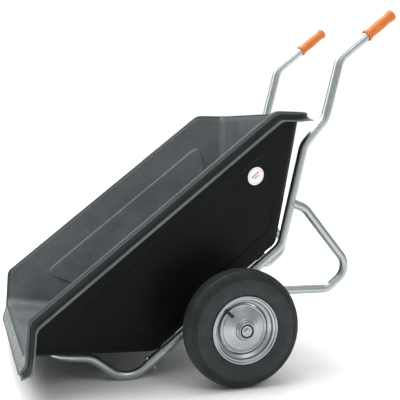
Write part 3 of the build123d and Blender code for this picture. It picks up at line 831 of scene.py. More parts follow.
@dataclass
class Tub:
    """Moulded tub: floor, flared walls, pressed side panels and a beaded rim with a skirt.

    All sizes are metres in the rim frame. One closed grid carries the whole tub. Its
    columns go round the plan, a rectangle with round corners, and its rows go from the
    middle of the inner floor up the inner wall, over the rim, under the skirt and down
    the outer wall to the middle of the underside.
    """

    place: RimFrame
    finishes: dict
    bottom: float = 0.069
    wall: float = 0.005
    wall_level: float = 0.00575
    level: float = 0.487
    level_share: float = 0.30
    floor_front: float = 0.270
    floor_rear: float = -0.321
    floor_half: float = 0.290
    side_flare: float = 0.319
    side_taper: float = 0.0134
    front_slope: float = math.radians(44.8)
    rear_slope: float = math.radians(47.3)
    front_corners: tuple = (0.048, 0.056)
    rear_corners: tuple = (0.042, 0.042)
    fillet: float = 0.042
    rim_points: tuple = (
        (0.643, 0.358), (0.597, 0.383), (0.500, 0.487), (-0.546, 0.487), (-0.696, 0.365))
    rim_bends: tuple = (0.030, 0.016, 0.055)
    rim_search: tuple = (0.30, 0.50)
    halvings: int = 40
    plan_points: tuple = ((0.643, 0.386), (0.583, 0.438), (-0.546, 0.4327), (-0.660, 0.420))
    plan_rear: tuple = (-0.696, 0.0)
    plan_bends: tuple = (0.035, 0.060, 0.090, 0.085, 0.420)
    inner_drop: float = 0.0095
    outer_drop: float = 0.0135
    flange_start: float = 0.0100
    flange_end: float = 0.0130
    skirt_back: float = 0.0134
    skirt_front: float = 0.590
    skirt_rear: float = -0.590
    skirt_fade: float = 0.055
    skirt_loss: tuple = (0.52, 0.18)
    panel_top: float = 0.388
    panel_bottom: float = 0.140
    panel_top_ends: tuple = (-0.462, 0.388)
    panel_bottom_ends: tuple = (-0.330, 0.250)
    panel_depth: float = 0.0065
    panel_depth_outside: float = 0.0022
    panel_edge: float = 0.0060
    panel_corner: float = 0.036
    panel_lean: tuple = (0.9, 1.05)
    label_forward: float = -0.374
    label_height: float = 0.341
    label_radius: float = 0.032
    label_shape: tuple = (
        (0.05, 0.00062), (0.5, 0.00062), (0.9, 0.00062), (0.975, 0.00058), (0.995, 0.00040),
        (1.0, 0.00015), (0.998, -0.0002))
    corner_columns: int = 22
    edge_columns: int = 20
    side_spacing: tuple = (0.016, 0.0024, 0.020)
    up_spacing: tuple = (0.030, 0.0042, 0.040)
    floor_rings: tuple = (0.02, 0.2, 0.4, 0.6, 0.8, 0.93)
    fillet_rows: int = 12
    rise: float = 0.418
    flange_level: float = -0.0046
    flange_under: float = -0.0112
    wall_gap: float = 0.0012
    inner_bead: tuple = (
        (0.0002, -0.0075), (0.0006, -0.0045), (0.0016, -0.0021), (0.0030, -0.0008),
        (0.0046, -0.0003), (0.0062, -0.0009), (0.0074, -0.0024), (0.0082, -0.0042),
        (0.0090, -0.0050), (0.0100, -0.0050))
    outer_bead: tuple = (
        (0.0130, -0.0044), (0.0118, -0.0036), (0.0104, -0.0022), (0.0090, -0.0017),
        (0.0076, -0.0022), (0.0064, -0.0038), (0.0060, -0.0062), (0.0062, -0.0100),
        (0.0070, -0.0140))
    skirt: tuple = (
        (0.0092, -0.0160), (0.0104, -0.0190), (0.0106, -0.0240), (0.0100, -0.0300),
        (0.0084, -0.0345), (0.0056, -0.0378))
    foot: tuple = (
        (0.0020, -0.0402), (0.0006, -0.0420), (0.0002, -0.0436), (0.0006, -0.0450),
        (0.0018, -0.0458), (0.0034, -0.0456), (0.0048, -0.0446))
    skirt_inside: tuple = (
        (0.0080, -0.0410), (0.0110, -0.0360), (0.0130, -0.0280), (0.0132, -0.0160))
    column: dict = field(default_factory=dict)

    def walls(self, height: Array) -> tuple[Array, Array, Array, Array, Array]:
        """Front place, rear place, half width and both corner radii of the plan at a height."""
        over = height - self.bottom
        front = self.floor_front + over / math.tan(self.front_slope)
        rear = self.floor_rear - over / math.tan(self.rear_slope)
        half = self.floor_half + over * self.side_flare
        share = over / self.rise
        ahead, behind = (floor + share * (rim - floor)
                         for floor, rim in (self.front_corners, self.rear_corners))
        return front, rear, half, ahead, behind

    def lay_columns(self) -> None:
        """Lay out the columns of the left half, then mirror them.

        Each column has a stretch of the plan (front edge, front corner, side, rear
        corner, rear edge) and a share from 0 to 1 along it, and its outward direction
        in plan. On an edge the direction is square to it, and on a corner it turns
        evenly.
        """
        front = np.linspace(0, 1, self.edge_columns)[:-1]
        corner = np.linspace(0, 1, self.corner_columns)[:-1]
        side = clustered(self.side_marks(), *self.side_spacing)
        rear = np.linspace(0, 1, self.edge_columns)
        shares = [front, corner, side[:-1], corner, rear]
        stretch = np.concatenate([np.full(len(s), k) for k, s in enumerate(shares)])
        share = np.concatenate(shares)
        base = np.array([0.0, 0.0, 0.5, 0.5, 1.0]) * math.pi
        turn = np.where((stretch == 1) | (stretch == 3), share * math.pi / 2, 0)
        angle = base[stretch] + turn
        mirror = slice(len(stretch) - 2, 0, -1)
        self.column = {
            "stretch": np.concatenate([stretch, stretch[mirror]]),
            "share": np.concatenate([share, share[mirror]]),
            "forward": np.concatenate([np.cos(angle), np.cos(angle)[mirror]]),
            "left": np.concatenate([np.sin(angle), -np.sin(angle)[mirror]]),
            "hand": np.concatenate([np.ones(len(stretch)), -np.ones(len(stretch) - 2)]),
        }

    def side_marks(self) -> tuple[float, ...]:
        """Shares along the side at which the panel's ends lie."""
        marks = []
        levels = ((self.panel_top, self.panel_top_ends),
                  (self.panel_bottom, self.panel_bottom_ends))
        for height, ends in levels:
            front, rear, _, ahead, behind = self.walls(np.array(height))
            start, end = front - ahead, rear + behind
            marks += [float((start - place) / (start - end)) for place in ends]
        return tuple(marks)

    def plan(self, height: Array, inset: Array) -> tuple[Array, Array]:
        """Forward and left places of every column at a height, moved in by an inset.

        The plan is a rectangle with quarter-round corners. Its half width is then
        stretched in proportion to one plus the taper times the forward place over the
        half width. The inset moves each point in against its outward direction.

        Args:
            height: heights, one for each column or in rows of columns.
            inset: level distances inwards, of the same shape or plain.

        Returns:
            Forward and left places.
        """
        stretch, share = self.column["stretch"], self.column["share"]
        out_forward, out_left = self.column["forward"], self.column["left"]
        front, rear, half, ahead, behind = self.walls(height)
        corner = np.where(stretch < 2, ahead, behind)
        side_start, side_end = front - ahead, rear + behind
        forward = np.select(
            [stretch == 0, stretch == 1, stretch == 2, stretch == 3],
            [front, side_start + corner * out_forward, side_start + share * (side_end - side_start),
             side_end + corner * out_forward], rear)
        left = np.select(
            [stretch == 0, stretch == 1, stretch == 2, stretch == 3],
            [share * (half - corner), half - corner + corner * np.abs(out_left), half + 0 * share,
             half - corner + corner * np.abs(out_left)], (1 - share) * (half - corner))
        left = left * (1 + self.side_taper * forward / half)
        return forward - inset * out_forward, self.column["hand"] * left - inset * out_left

    def lean(self) -> Array:
        """Level distance that each column's wall moves out for each metre of height."""
        base = self.bottom
        low, high = (self.walls(np.array(h)) for h in (base, base + self.rise))
        rates = [(h - l) / self.rise for l, h in zip(low, high)]
        ahead, behind, aside, grow_front, grow_rear = rates
        grow = np.where(self.column["stretch"] < 3, grow_front, grow_rear)
        fore = np.where(self.column["stretch"] < 3, ahead, -behind)
        along, across = np.abs(self.column["forward"]), np.abs(self.column["left"])
        round_part = (fore - grow) * along + (aside - grow) * across + grow
        stretch = self.column["stretch"]
        edges = (stretch == 0) | (stretch == 4)
        return np.select([edges, stretch == 2], [fore, aside + 0 * fore], round_part)

    def rim_line(self, forward: Array) -> Array:
        """Height of the rim over a forward place: straight runs joined by arcs."""
        path = rounded_path([*self.rim_points[::-1]], self.rim_bends[::-1], run_step=0.3)
        return np.interp(forward, path[:, 0], path[:, 1])

    def outer_plan(self) -> Array:
        """Closed plan of the rim's outer edge, with rounded corners."""
        half = list(self.plan_points)
        points = half + [self.plan_rear] + [(f, -l) for f, l in reversed(half)]
        bends = list(self.plan_bends)
        return rounded_path(points, bends[:4] + [bends[4]] + bends[3::-1], closed=True,
                            arc_step=math.radians(2), run_step=0.05)

    def inner_edge(self) -> tuple[Array, Array, Array]:
        """Where each column's inner wall meets the rim line.

        The height is found by halving: the wall's forward place at a height gives the
        rim's height there, and the two are brought together.

        Returns:
            Forward, left and height of the edge for each column.
        """
        low = np.full(len(self.column["share"]), self.rim_search[0])
        high = np.full_like(low, self.rim_search[1])
        for _ in range(self.halvings):
            middle = (low + high) / 2
            forward, _ = self.plan(middle, self.wall_level)
            below = self.rim_line(forward) > middle
            low, high = np.where(below, middle, low), np.where(below, high, middle)
        height = (low + high) / 2
        forward, left = self.plan(height, self.wall_level)
        return forward, left, height

    def reach(self, forward: Array, left: Array) -> Array:
        """Distance from each column's inner edge out to the rim's outer edge.

        A ray leaves the edge along the column's outward direction. It meets each run of
        the outer plan at the cross product of the run's start and direction over that
        of the ray and the run, and the meeting that lies on the run is kept.

        Args:
            forward: forward places of the inner edge.
            left: left places of the inner edge.

        Returns:
            The distances.
        """
        ring = self.outer_plan()
        start, run = ring, np.roll(ring, -1, axis=0) - ring
        ray = np.stack([self.column["forward"], self.column["left"]], -1)
        gap = start[None] - np.stack([forward, left], -1)[:, None]
        cross = ray[:, None, 0] * run[None, :, 1] - ray[:, None, 1] * run[None, :, 0]
        cross = np.where(np.abs(cross) < 1e-12, 1e-12, cross)
        far = (gap[..., 0] * run[None, :, 1] - gap[..., 1] * run[None, :, 0]) / cross
        share = (gap[..., 0] * ray[:, None, 1] - gap[..., 1] * ray[:, None, 0]) / cross
        good = (share >= -1e-6) & (share <= 1 + 1e-6) & (far > 0)
        return np.where(good, far, 1e3).min(axis=1)

    def panel_push(self, forward: Array, height: Array) -> Array:
        """How far the side panel is pushed in at a place, as a share of its depth.

        The panel is a four-sided shape whose ends lean with the tub. The distance to it
        is that of a box with round corners, worked out from the distances beyond each
        edge, and the push falls smoothly over the edge's width.

        Args:
            forward: forward places.
            height: heights.

        Returns:
            Shares from 0 to 1.
        """
        rise = (height - self.panel_bottom) / (self.panel_top - self.panel_bottom)
        ends = [b + rise * (t - b) for t, b in zip(self.panel_top_ends, self.panel_bottom_ends)]
        rear_beyond, front_beyond = ends[0] - forward, forward - ends[1]
        lengthways = np.maximum(rear_beyond, front_beyond) * self.panel_lean[0]
        upright = np.maximum(self.panel_bottom - height, height - self.panel_top)
        upright = upright * self.panel_lean[1]
        a, b = lengthways + self.panel_corner, upright + self.panel_corner
        beyond = np.hypot(np.maximum(a, 0), np.maximum(b, 0))
        gap = beyond + np.minimum(np.maximum(a, b), 0) - self.panel_corner
        return 1 - smooth_step(gap / self.panel_edge + 0.5)

    def wall_rows(self, floor: float, inset: float, radius: float, top: Array, heights: Array,
                  depth: float) -> list[Array]:
        """Rows of one face of the wall, from the middle of its floor up to the rim.

        The fillet is an arc that touches the floor and the leaning wall: at an angle a
        the height is radius times one minus cos a, and the place is radius times sin a
        less the touching length, radius times the tangent of half the turn.

        Args:
            floor: height of the floor.
            inset: level distance of the face inside the outer wall.
            radius: radius of the fillet.
            top: height of each column's top.
            heights: shares of the wall above the fillet at which rows lie.
            depth: depth of the side panels on this face.

        Returns:
            Rows of forward, left and height.
        """
        lean = self.lean()
        turn = np.arctan2(1.0, lean)
        touch = radius * np.tan(turn / 2)
        rows = []
        for share in np.linspace(0, 1, self.fillet_rows):
            angle = turn * share
            up = radius * (1 - np.cos(angle))
            back = lean * up - (radius * np.sin(angle) - touch)
            forward, left = self.plan(floor + up, inset + back)
            rows.append(np.stack([forward, left, floor + up], -1))
        first = rows[0]
        middle = first.mean(axis=0)
        floor_rows = [middle + (first - middle) * s for s in self.floor_rings]
        start = floor + radius * (1 - np.cos(turn))
        for share in heights:
            height = self.row_height(start, top, share)
            forward, left = self.plan(height, inset)
            push = self.panel_push(forward, height) * (self.column["stretch"] == 2) * depth
            left = left - push * np.sign(left)
            rows.append(np.stack([forward, left, height], -1))
        return floor_rows + rows

    def row_height(self, start: Array, top: Array, share: float) -> Array:
        """Height of a wall row: level near the fillet and along the rim near the top.

        Args:
            start: heights at the top of the fillet.
            top: heights of the rim.
            share: place of the row from 0 to 1.

        Returns:
            The heights.
        """
        wished = start + share * (self.level - start)
        squeeze = smooth_step((share - self.level_share) / (1 - self.level_share))
        return wished + squeeze * (top - self.level)

    def rim_profile(self, reach: Array) -> list[tuple[Array, Array, TubSlot]]:
        """Section of the rim as rows of distance out from the inner wall and depth.

        A round bead stands at the inner edge, then a groove, the flat flange, a small
        outer bead, the hollow skirt with its flared foot, and back under the flange. The
        bead's rows are distances out from the inner edge, and all later ones are
        distances back from the outer edge.

        Args:
            reach: distance to the outer edge for each column.

        Returns:
            Rows of distance, height over the rim line and material slot.
        """
        rows = [(out + 0 * reach, up + 0 * reach, TubSlot.RIM) for out, up in self.inner_bead]
        flange = reach - self.flange_end - self.flange_start
        rows += [(self.flange_start + share * flange, self.flange_level + 0 * reach, TubSlot.RIM)
                 for share in (0.15, 0.5, 0.85)]
        # Skirt rows take the painted-shade skirt copy, and the foot rows take the painted-highlight
        # edge copy of the plastic.
        for stations, slot in ((self.outer_bead, TubSlot.RIM), (self.skirt, TubSlot.SKIRT),
                               (self.foot, TubSlot.EDGE), (self.skirt_inside, TubSlot.OUTSIDE)):
            rows += [(reach - back, up + 0 * reach, slot) for back, up in stations]
        edge = reach - self.skirt_back
        under = self.wall_level + self.wall_gap - edge
        rows += [(edge + share * under, self.flange_under + 0 * reach, TubSlot.OUTSIDE)
                 for share in (0.0, 0.5, 1.0)]
        return rows

    def build(self) -> list[bpy.types.Object]:
        """Build the tub and its label.

        Returns:
            The pieces.
        """
        self.lay_columns()
        forward, left, top = self.inner_edge()
        reach = self.reach(forward, left)
        out_forward, out_left = self.column["forward"], self.column["left"]
        heights = self.wall_shares()
        inner = self.wall_rows(self.bottom + self.wall, self.wall_level, self.fillet - self.wall,
                               top - self.inner_drop, heights, self.panel_depth)
        slots = [TubSlot.INSIDE] * len(inner)
        rows = list(inner)
        for out, up, slot in self.rim_profile(reach):
            ahead = forward + out * out_forward
            aside = left + out * out_left
            nose = smooth_step((ahead - self.skirt_front) / self.skirt_fade)
            tail = smooth_step((self.skirt_rear - ahead) / self.skirt_fade)
            up = up * (1 - self.skirt_loss[0] * nose - self.skirt_loss[1] * tail)
            rows.append(np.stack([ahead, aside, self.rim_line(ahead) + up], -1))
            slots.append(slot)
        outer = self.wall_rows(self.bottom, 0.0, self.fillet, top - self.outer_drop, heights,
                               self.panel_depth_outside)
        rows += outer[::-1]
        slots += [TubSlot.OUTSIDE] * len(outer)
        grid = np.stack(rows)
        grid = self.place.world(grid[..., 0], grid[..., 1], grid[..., 2])
        piece = Piece("tub_shell")
        each = np.array([slot.value for slot in slots[1:]])
        piece.grid(grid, wrap_columns=True, cap_start=True, cap_end=True, slots=each)
        # Each slot gets its own copy of the plastic: inside and rim lit, outside and skirt in
        # painted shade, the edge a painted highlight.
        faces = [self.finishes[f"tub_{face.name.lower()}"] for face in TubSlot]
        shell = piece.finish("frame", faces, "tub_plastic", ["tub"])
        return [shell, self.build_label()]

    def wall_shares(self) -> Array:
        """Shares of the wall's height at which rows lie, close at the panel's edges."""
        start = self.bottom + self.fillet * 0.7
        marks = [(h - start) / (self.level - start) for h in (self.panel_bottom, self.panel_top)]
        return clustered(marks, *self.up_spacing)[1:]

    def build_label(self) -> bpy.types.Object:
        """Round sticker on the pushed-in panel of the left side.

        It is a disc of rings in the plane of the panel, with a soft edge. The plane
        holds the forward direction with the taper and the direction up the flare.

        Returns:
            The piece.
        """
        over = self.label_height - self.bottom
        half = self.floor_half + over * self.side_flare + self.label_forward * self.side_taper
        ahead = np.array([1.0, self.side_taper, 0.0])
        ahead /= np.linalg.norm(ahead)
        up = np.array([0.0, self.side_flare, 1.0])
        up -= (up @ ahead) * ahead
        up /= np.linalg.norm(up)
        outward = np.cross(up, ahead)
        middle = np.array([self.label_forward, half - self.panel_depth_outside, self.label_height])
        profile = np.array(self.label_shape)
        angle = np.linspace(0, 2 * math.pi, 96, endpoint=False)[None]
        across = profile[:, :1] * self.label_radius
        points = (middle + (across * np.cos(angle))[..., None] * ahead
                  + (across * np.sin(angle))[..., None] * up + profile[:, 1:2, None] * outward)
        world = self.place.world(points[..., 0], points[..., 1], points[..., 2])
        piece = Piece("side_label")
        piece.grid(world, wrap_columns=True, cap_start=True, cap_end=True)
        reach = 0.5 * profile[:, :1]
        spread = np.stack([0.5 - reach * np.cos(angle), 0.5 + reach * np.sin(angle)], -1)
        piece.uv[0] = spread.reshape(-1, 2)
        return piece.finish("frame", [self.finishes["label"]], "label", ["tub_label"])


# ---------------------------------------------------------------- tubes

@dataclass
class Tubes:
    """Bent tubes of the frame: handles, legs, nose loop, sleeves, welds and grips."""

    place: RimFrame
    finishes: dict
    radius: float = 0.016
    bore: float = 0.014
    spacing: float = 0.274
    rail: float = 0.050
    bend: float = 0.075
    handle: tuple = (
        (-1.187, 0.441), (-0.917, 0.441), (-0.740, 0.305), (-0.614, 0.281), (-0.324, 0.050))
    joint: float = 0.2765
    joint_gap: float = 0.002
    leg: tuple = (
        (-0.449, 0.14957), (-0.479, 0.098), (-0.486, -0.200), (-0.366, -0.200), (-0.067, 0.050))
    leg_bend: float = 0.060
    nose_foot: float = 0.402
    nose_foot_bend: float = 0.095
    nose_heights: tuple = (0.206, 0.292)
    nose_front: tuple = (0.4395, 0.5261)
    sleeve: tuple = (0.238, 0.315)
    sleeve_radius: float = 0.0188
    grip_length: float = 0.131
    grip_bore: float = 0.0161
    grip_outline: tuple = (
        (0.0161, 0.0), (0.0195, -0.0004), (0.0218, 0.0010), (0.0225, 0.0035), (0.0222, 0.0065),
        (0.0208, 0.0095), (0.0192, 0.0125), (0.0184, 0.0180), (0.0186, 0.0300), (0.0192, 0.0480),
        (0.0195, 0.0640), (0.0190, 0.0800), (0.0182, 0.0950), (0.0180, 0.1050), (0.0186, 0.1140),
        (0.0200, 0.1215), (0.0208, 0.1270), (0.0206, 0.1312), (0.0186, 0.1342), (0.0140, 0.1356),
        (0.0060, 0.1360), (0.0012, 0.1360))
    bead_points: int = 120
    bead_radius: float = 0.0021
    bead_ripple: float = 0.00035
    bead_wobble: float = 0.0002
    rolled_end: tuple = ((0.0012, 1.0), (0.0004, 0.86), (0.0, 0.6), (0.0, 0.35), (0.0004, 0.12),
                         (0.0014, 0.0), (0.035, 0.0))
    segments: int = 40

    def line(self, points: Sequence, left: float, bends: Sequence[float]) -> Array:
        """World path of a tube in an upright plane.

        Args:
            points: forward places and heights of its corners.
            left: distance of its plane from the middle.
            bends: radii of its bends.

        Returns:
            Sampled path.
        """
        flat = rounded_path(points, bends, arc_step=math.radians(3.5), run_step=0.03)
        return self.place.world(flat[:, 0], left, flat[:, 1])

    def tube(self, name: str, path: Array, guide: Array, is_open: bool) -> Piece:
        """Start a tube piece: a round section carried along its path, its ends rolled in.

        An open end turns over a rounded lip into the bore for a short way: each step
        has a depth inwards and a share of the wall. A shut end runs straight into its
        neighbour.

        Args:
            name: name of the piece.
            path: stations of the path.
            guide: direction that keeps the section from twisting.
            is_open: whether both ends are open, or both shut.

        Returns:
            The unfinished piece.
        """
        radii = np.full(len(path), self.radius)
        if not is_open:
            return self.sections(Piece(name), path, radii, path, guide)
        depth, share = np.array(self.rolled_end).T
        inward = np.array([path[1] - path[0], path[-2] - path[-1]])
        inward /= np.linalg.norm(inward, axis=1, keepdims=True)
        start, end = (path[tip] + depth[:, None] * inward[tip] for tip in (0, -1))
        size = self.bore + (self.radius - self.bore) * share
        stations = np.concatenate([start[::-1], path[1:-1], end])
        radii = np.concatenate([size[::-1], radii[1:-1], size])
        return self.sections(Piece(name), stations, radii, path, guide)

    def sections(self, piece: Piece, stations: Array, radii: Array, path: Array,
                 guide: Array) -> Piece:
        """Add round sections whose directions are those of the nearest path points.

        Args:
            piece: piece that they are added to.
            stations: middles of the sections.
            radii: their radii.
            path: path that gives the directions.
            guide: direction that keeps the sections from twisting.

        Returns:
            The piece itself.
        """
        along = np.gradient(path, axis=0)
        along /= np.linalg.norm(along, axis=1, keepdims=True)
        nearest = np.linalg.norm(stations[:, None] - path[None], axis=2).argmin(axis=1)
        points = round_sections(stations, along[nearest], guide, radii, self.segments)
        return piece.grid(points, wrap_columns=True, cap_start=True, cap_end=True)

    def build(self) -> list[bpy.types.Object]:
        """Build every tube of both sides.

        Returns:
            The pieces.
        """
        steel = [self.finishes["galvanised"]]
        pieces = []
        across = self.place.left
        for side, sign in SIDES:
            left = sign * self.spacing
            rail_end = (self.joint - self.joint_gap / 2, self.rail)
            path = self.line([*self.handle, rail_end], left, [self.bend] * 4)
            tube = self.tube(f"handle_tube_{side}", path, across, True)
            pieces.append(tube.finish("frame", steel, "galvanised", [f"main_tube_{side}"]))
            path = self.line(self.leg, left, [self.leg_bend] * 3)
            leg = self.tube(f"leg_loop_{side}", path, across, False)
            pieces.append(leg.finish("frame", steel, "galvanised", [f"leg_tube_{side}"]))
            pieces.append(self.sleeve_piece(side, left))
            pieces.append(self.grip(side, left))
            pieces += self.welds(side, left)
        pieces.append(self.nose())
        return pieces

    def nose(self) -> bpy.types.Object:
        """Nose loop: from the left joint under the tub's nose, across and back.

        Its path bends in two upright planes and across, so its samples come from the
        rounded corners in space.

        Returns:
            The piece.
        """
        half = [(self.joint + self.joint_gap / 2, self.rail), (self.nose_foot, self.rail)]
        half += list(zip(self.nose_front, self.nose_heights))
        points = [(f, self.spacing, h) for f, h in half]
        points += [(f, -left, h) for f, left, h in reversed(points)]
        bends = [self.nose_foot_bend, self.bend, self.bend]
        flat = rounded_path(points, bends + bends[::-1], arc_step=math.radians(3.5), run_step=0.03)
        path = self.place.world(flat[:, 0], flat[:, 1], flat[:, 2])
        guide = -0.5 * self.place.forward + 0.866 * self.place.up
        tube = self.tube("nose_loop", path, guide, True)
        return tube.finish("frame", [self.finishes["galvanised"]], "galvanised", ["nose_tube"])

    def spindle(self, forward: float, left: float, height: float, axis: Array) -> Spindle:
        """Spindle at a rim-frame place."""
        origin = self.place.world(np.array(forward), np.array(left), np.array(height))
        return Spindle(origin, axis, self.place.left)

    def sleeve_piece(self, side: str, left: float) -> bpy.types.Object:
        """Joint sleeve: a short pipe with rolled edges."""
        start, end = self.sleeve
        long, out, bore = end - start, self.sleeve_radius, self.radius + 0.0003
        profile = np.array([
            (bore, 0.001), (bore + 0.0008, 0.0002), (out - 0.0008, 0.0), (out, 0.0008),
            (out, 0.006), (out, 0.5 * long), (out, long - 0.006), (out, long - 0.0008),
            (out - 0.0008, long),
            (bore + 0.0008, long - 0.0002), (bore, long - 0.001), (bore, 0.5 * long)])
        piece = Piece(f"joint_sleeve_{side}")
        axis = self.spindle(start, left, self.rail, self.place.forward)
        turned(piece, axis, profile, 48, closed=True)
        return piece.finish("frame", [self.finishes["galvanised"]], "galvanised",
                            [f"nose_sleeve_{side}"])

    def grip(self, side: str, left: float) -> bpy.types.Object:
        """Moulded grip: a collar, a waist, a fuller middle, a second waist and a round end.

        Its radius follows a smooth curve through measured stations, and its end closes
        in a dome.

        Args:
            side: side word of its name.
            left: distance of its axis from the middle.

        Returns:
            The piece.
        """
        end = self.handle[0][0]
        start = end + self.grip_length
        bore = [(self.grip_bore, self.grip_length), (self.grip_bore, 0.0002)]
        profile = np.vstack([bore, smooth_profile(self.grip_outline, 5)]) * (1, -1)
        piece = Piece(f"handle_grip_{side}")
        axis = self.spindle(start, left, self.handle[0][1], self.place.forward)
        turned(piece, axis, profile, 64, cap_start=True, cap_end=True)
        return piece.finish("frame", [self.finishes["grip"]], "grip_orange", [f"grip_{side}"])

    def welds(self, side: str, left: float) -> list[bpy.types.Object]:
        """Weld beads where the leg's two ends meet the main tube.

        A bead follows the seam of two equal round tubes in one plane, which lies in the
        two planes that halve the angles between their axes. Its section is a small
        round that swells and shrinks along the way.

        Args:
            side: side word of their names.
            left: distance of the tubes' plane from the middle.

        Returns:
            The pieces.
        """
        pieces = []
        seams = (
            (self.leg[0], self.leg[1], self.handle[3], self.handle[4]),
            (self.leg[-1], self.leg[-2], self.handle[4], (0.0, self.rail)),
        )
        for number, (joint, away, run_start, run_end) in enumerate(seams):
            joint, away = np.array(joint), np.array(away)
            leg = (away - joint) / np.linalg.norm(away - joint)
            run = np.array(run_end) - np.array(run_start)
            run = run / np.linalg.norm(run)
            angle = np.linspace(0, 2 * math.pi, self.bead_points, endpoint=False)
            lateral = self.radius * np.sin(angle)
            depth = self.radius * np.cos(angle)
            across_leg = np.array([-leg[1], leg[0]])
            normal = np.array([-run[1], run[0]])
            if normal @ leg < 0:
                normal = -normal
            surface = np.sqrt(np.maximum(self.radius ** 2 - lateral ** 2, 0))
            along = (surface - depth * (across_leg @ normal)) / (leg @ normal)
            flat = joint + along[:, None] * leg + depth[:, None] * across_leg
            seam = self.place.world(flat[:, 0], left + lateral, flat[:, 1])
            middle = seam.mean(axis=0)
            ripple = self.bead_ripple * np.sin(angle * 34)
            ripple = ripple + self.bead_wobble * np.sin(angle * 5 + number)
            piece = Piece(f"weld_{side}_{number + 1}")
            self.ring_bead(piece, seam, middle, self.bead_radius + ripple)
            pieces.append(piece.finish("frame", [self.finishes["weld"]], "galvanised"))
        return pieces

    @staticmethod
    def ring_bead(piece: Piece, loop: Array, middle: Array, radius: Array) -> Piece:
        """Add a closed bead round a loop of points.

        Args:
            piece: piece that it is added to.
            loop: closed row of points.
            middle: point that the sections are turned from.
            radius: radius of the section at each point.

        Returns:
            The piece itself.
        """
        along = np.roll(loop, -1, axis=0) - np.roll(loop, 1, axis=0)
        along /= np.linalg.norm(along, axis=1, keepdims=True)
        points = round_sections(loop, along, loop - middle, radius, 10)
        return piece.grid(points, wrap_rows=True, wrap_columns=True)


# ---------------------------------------------------------------- wheels

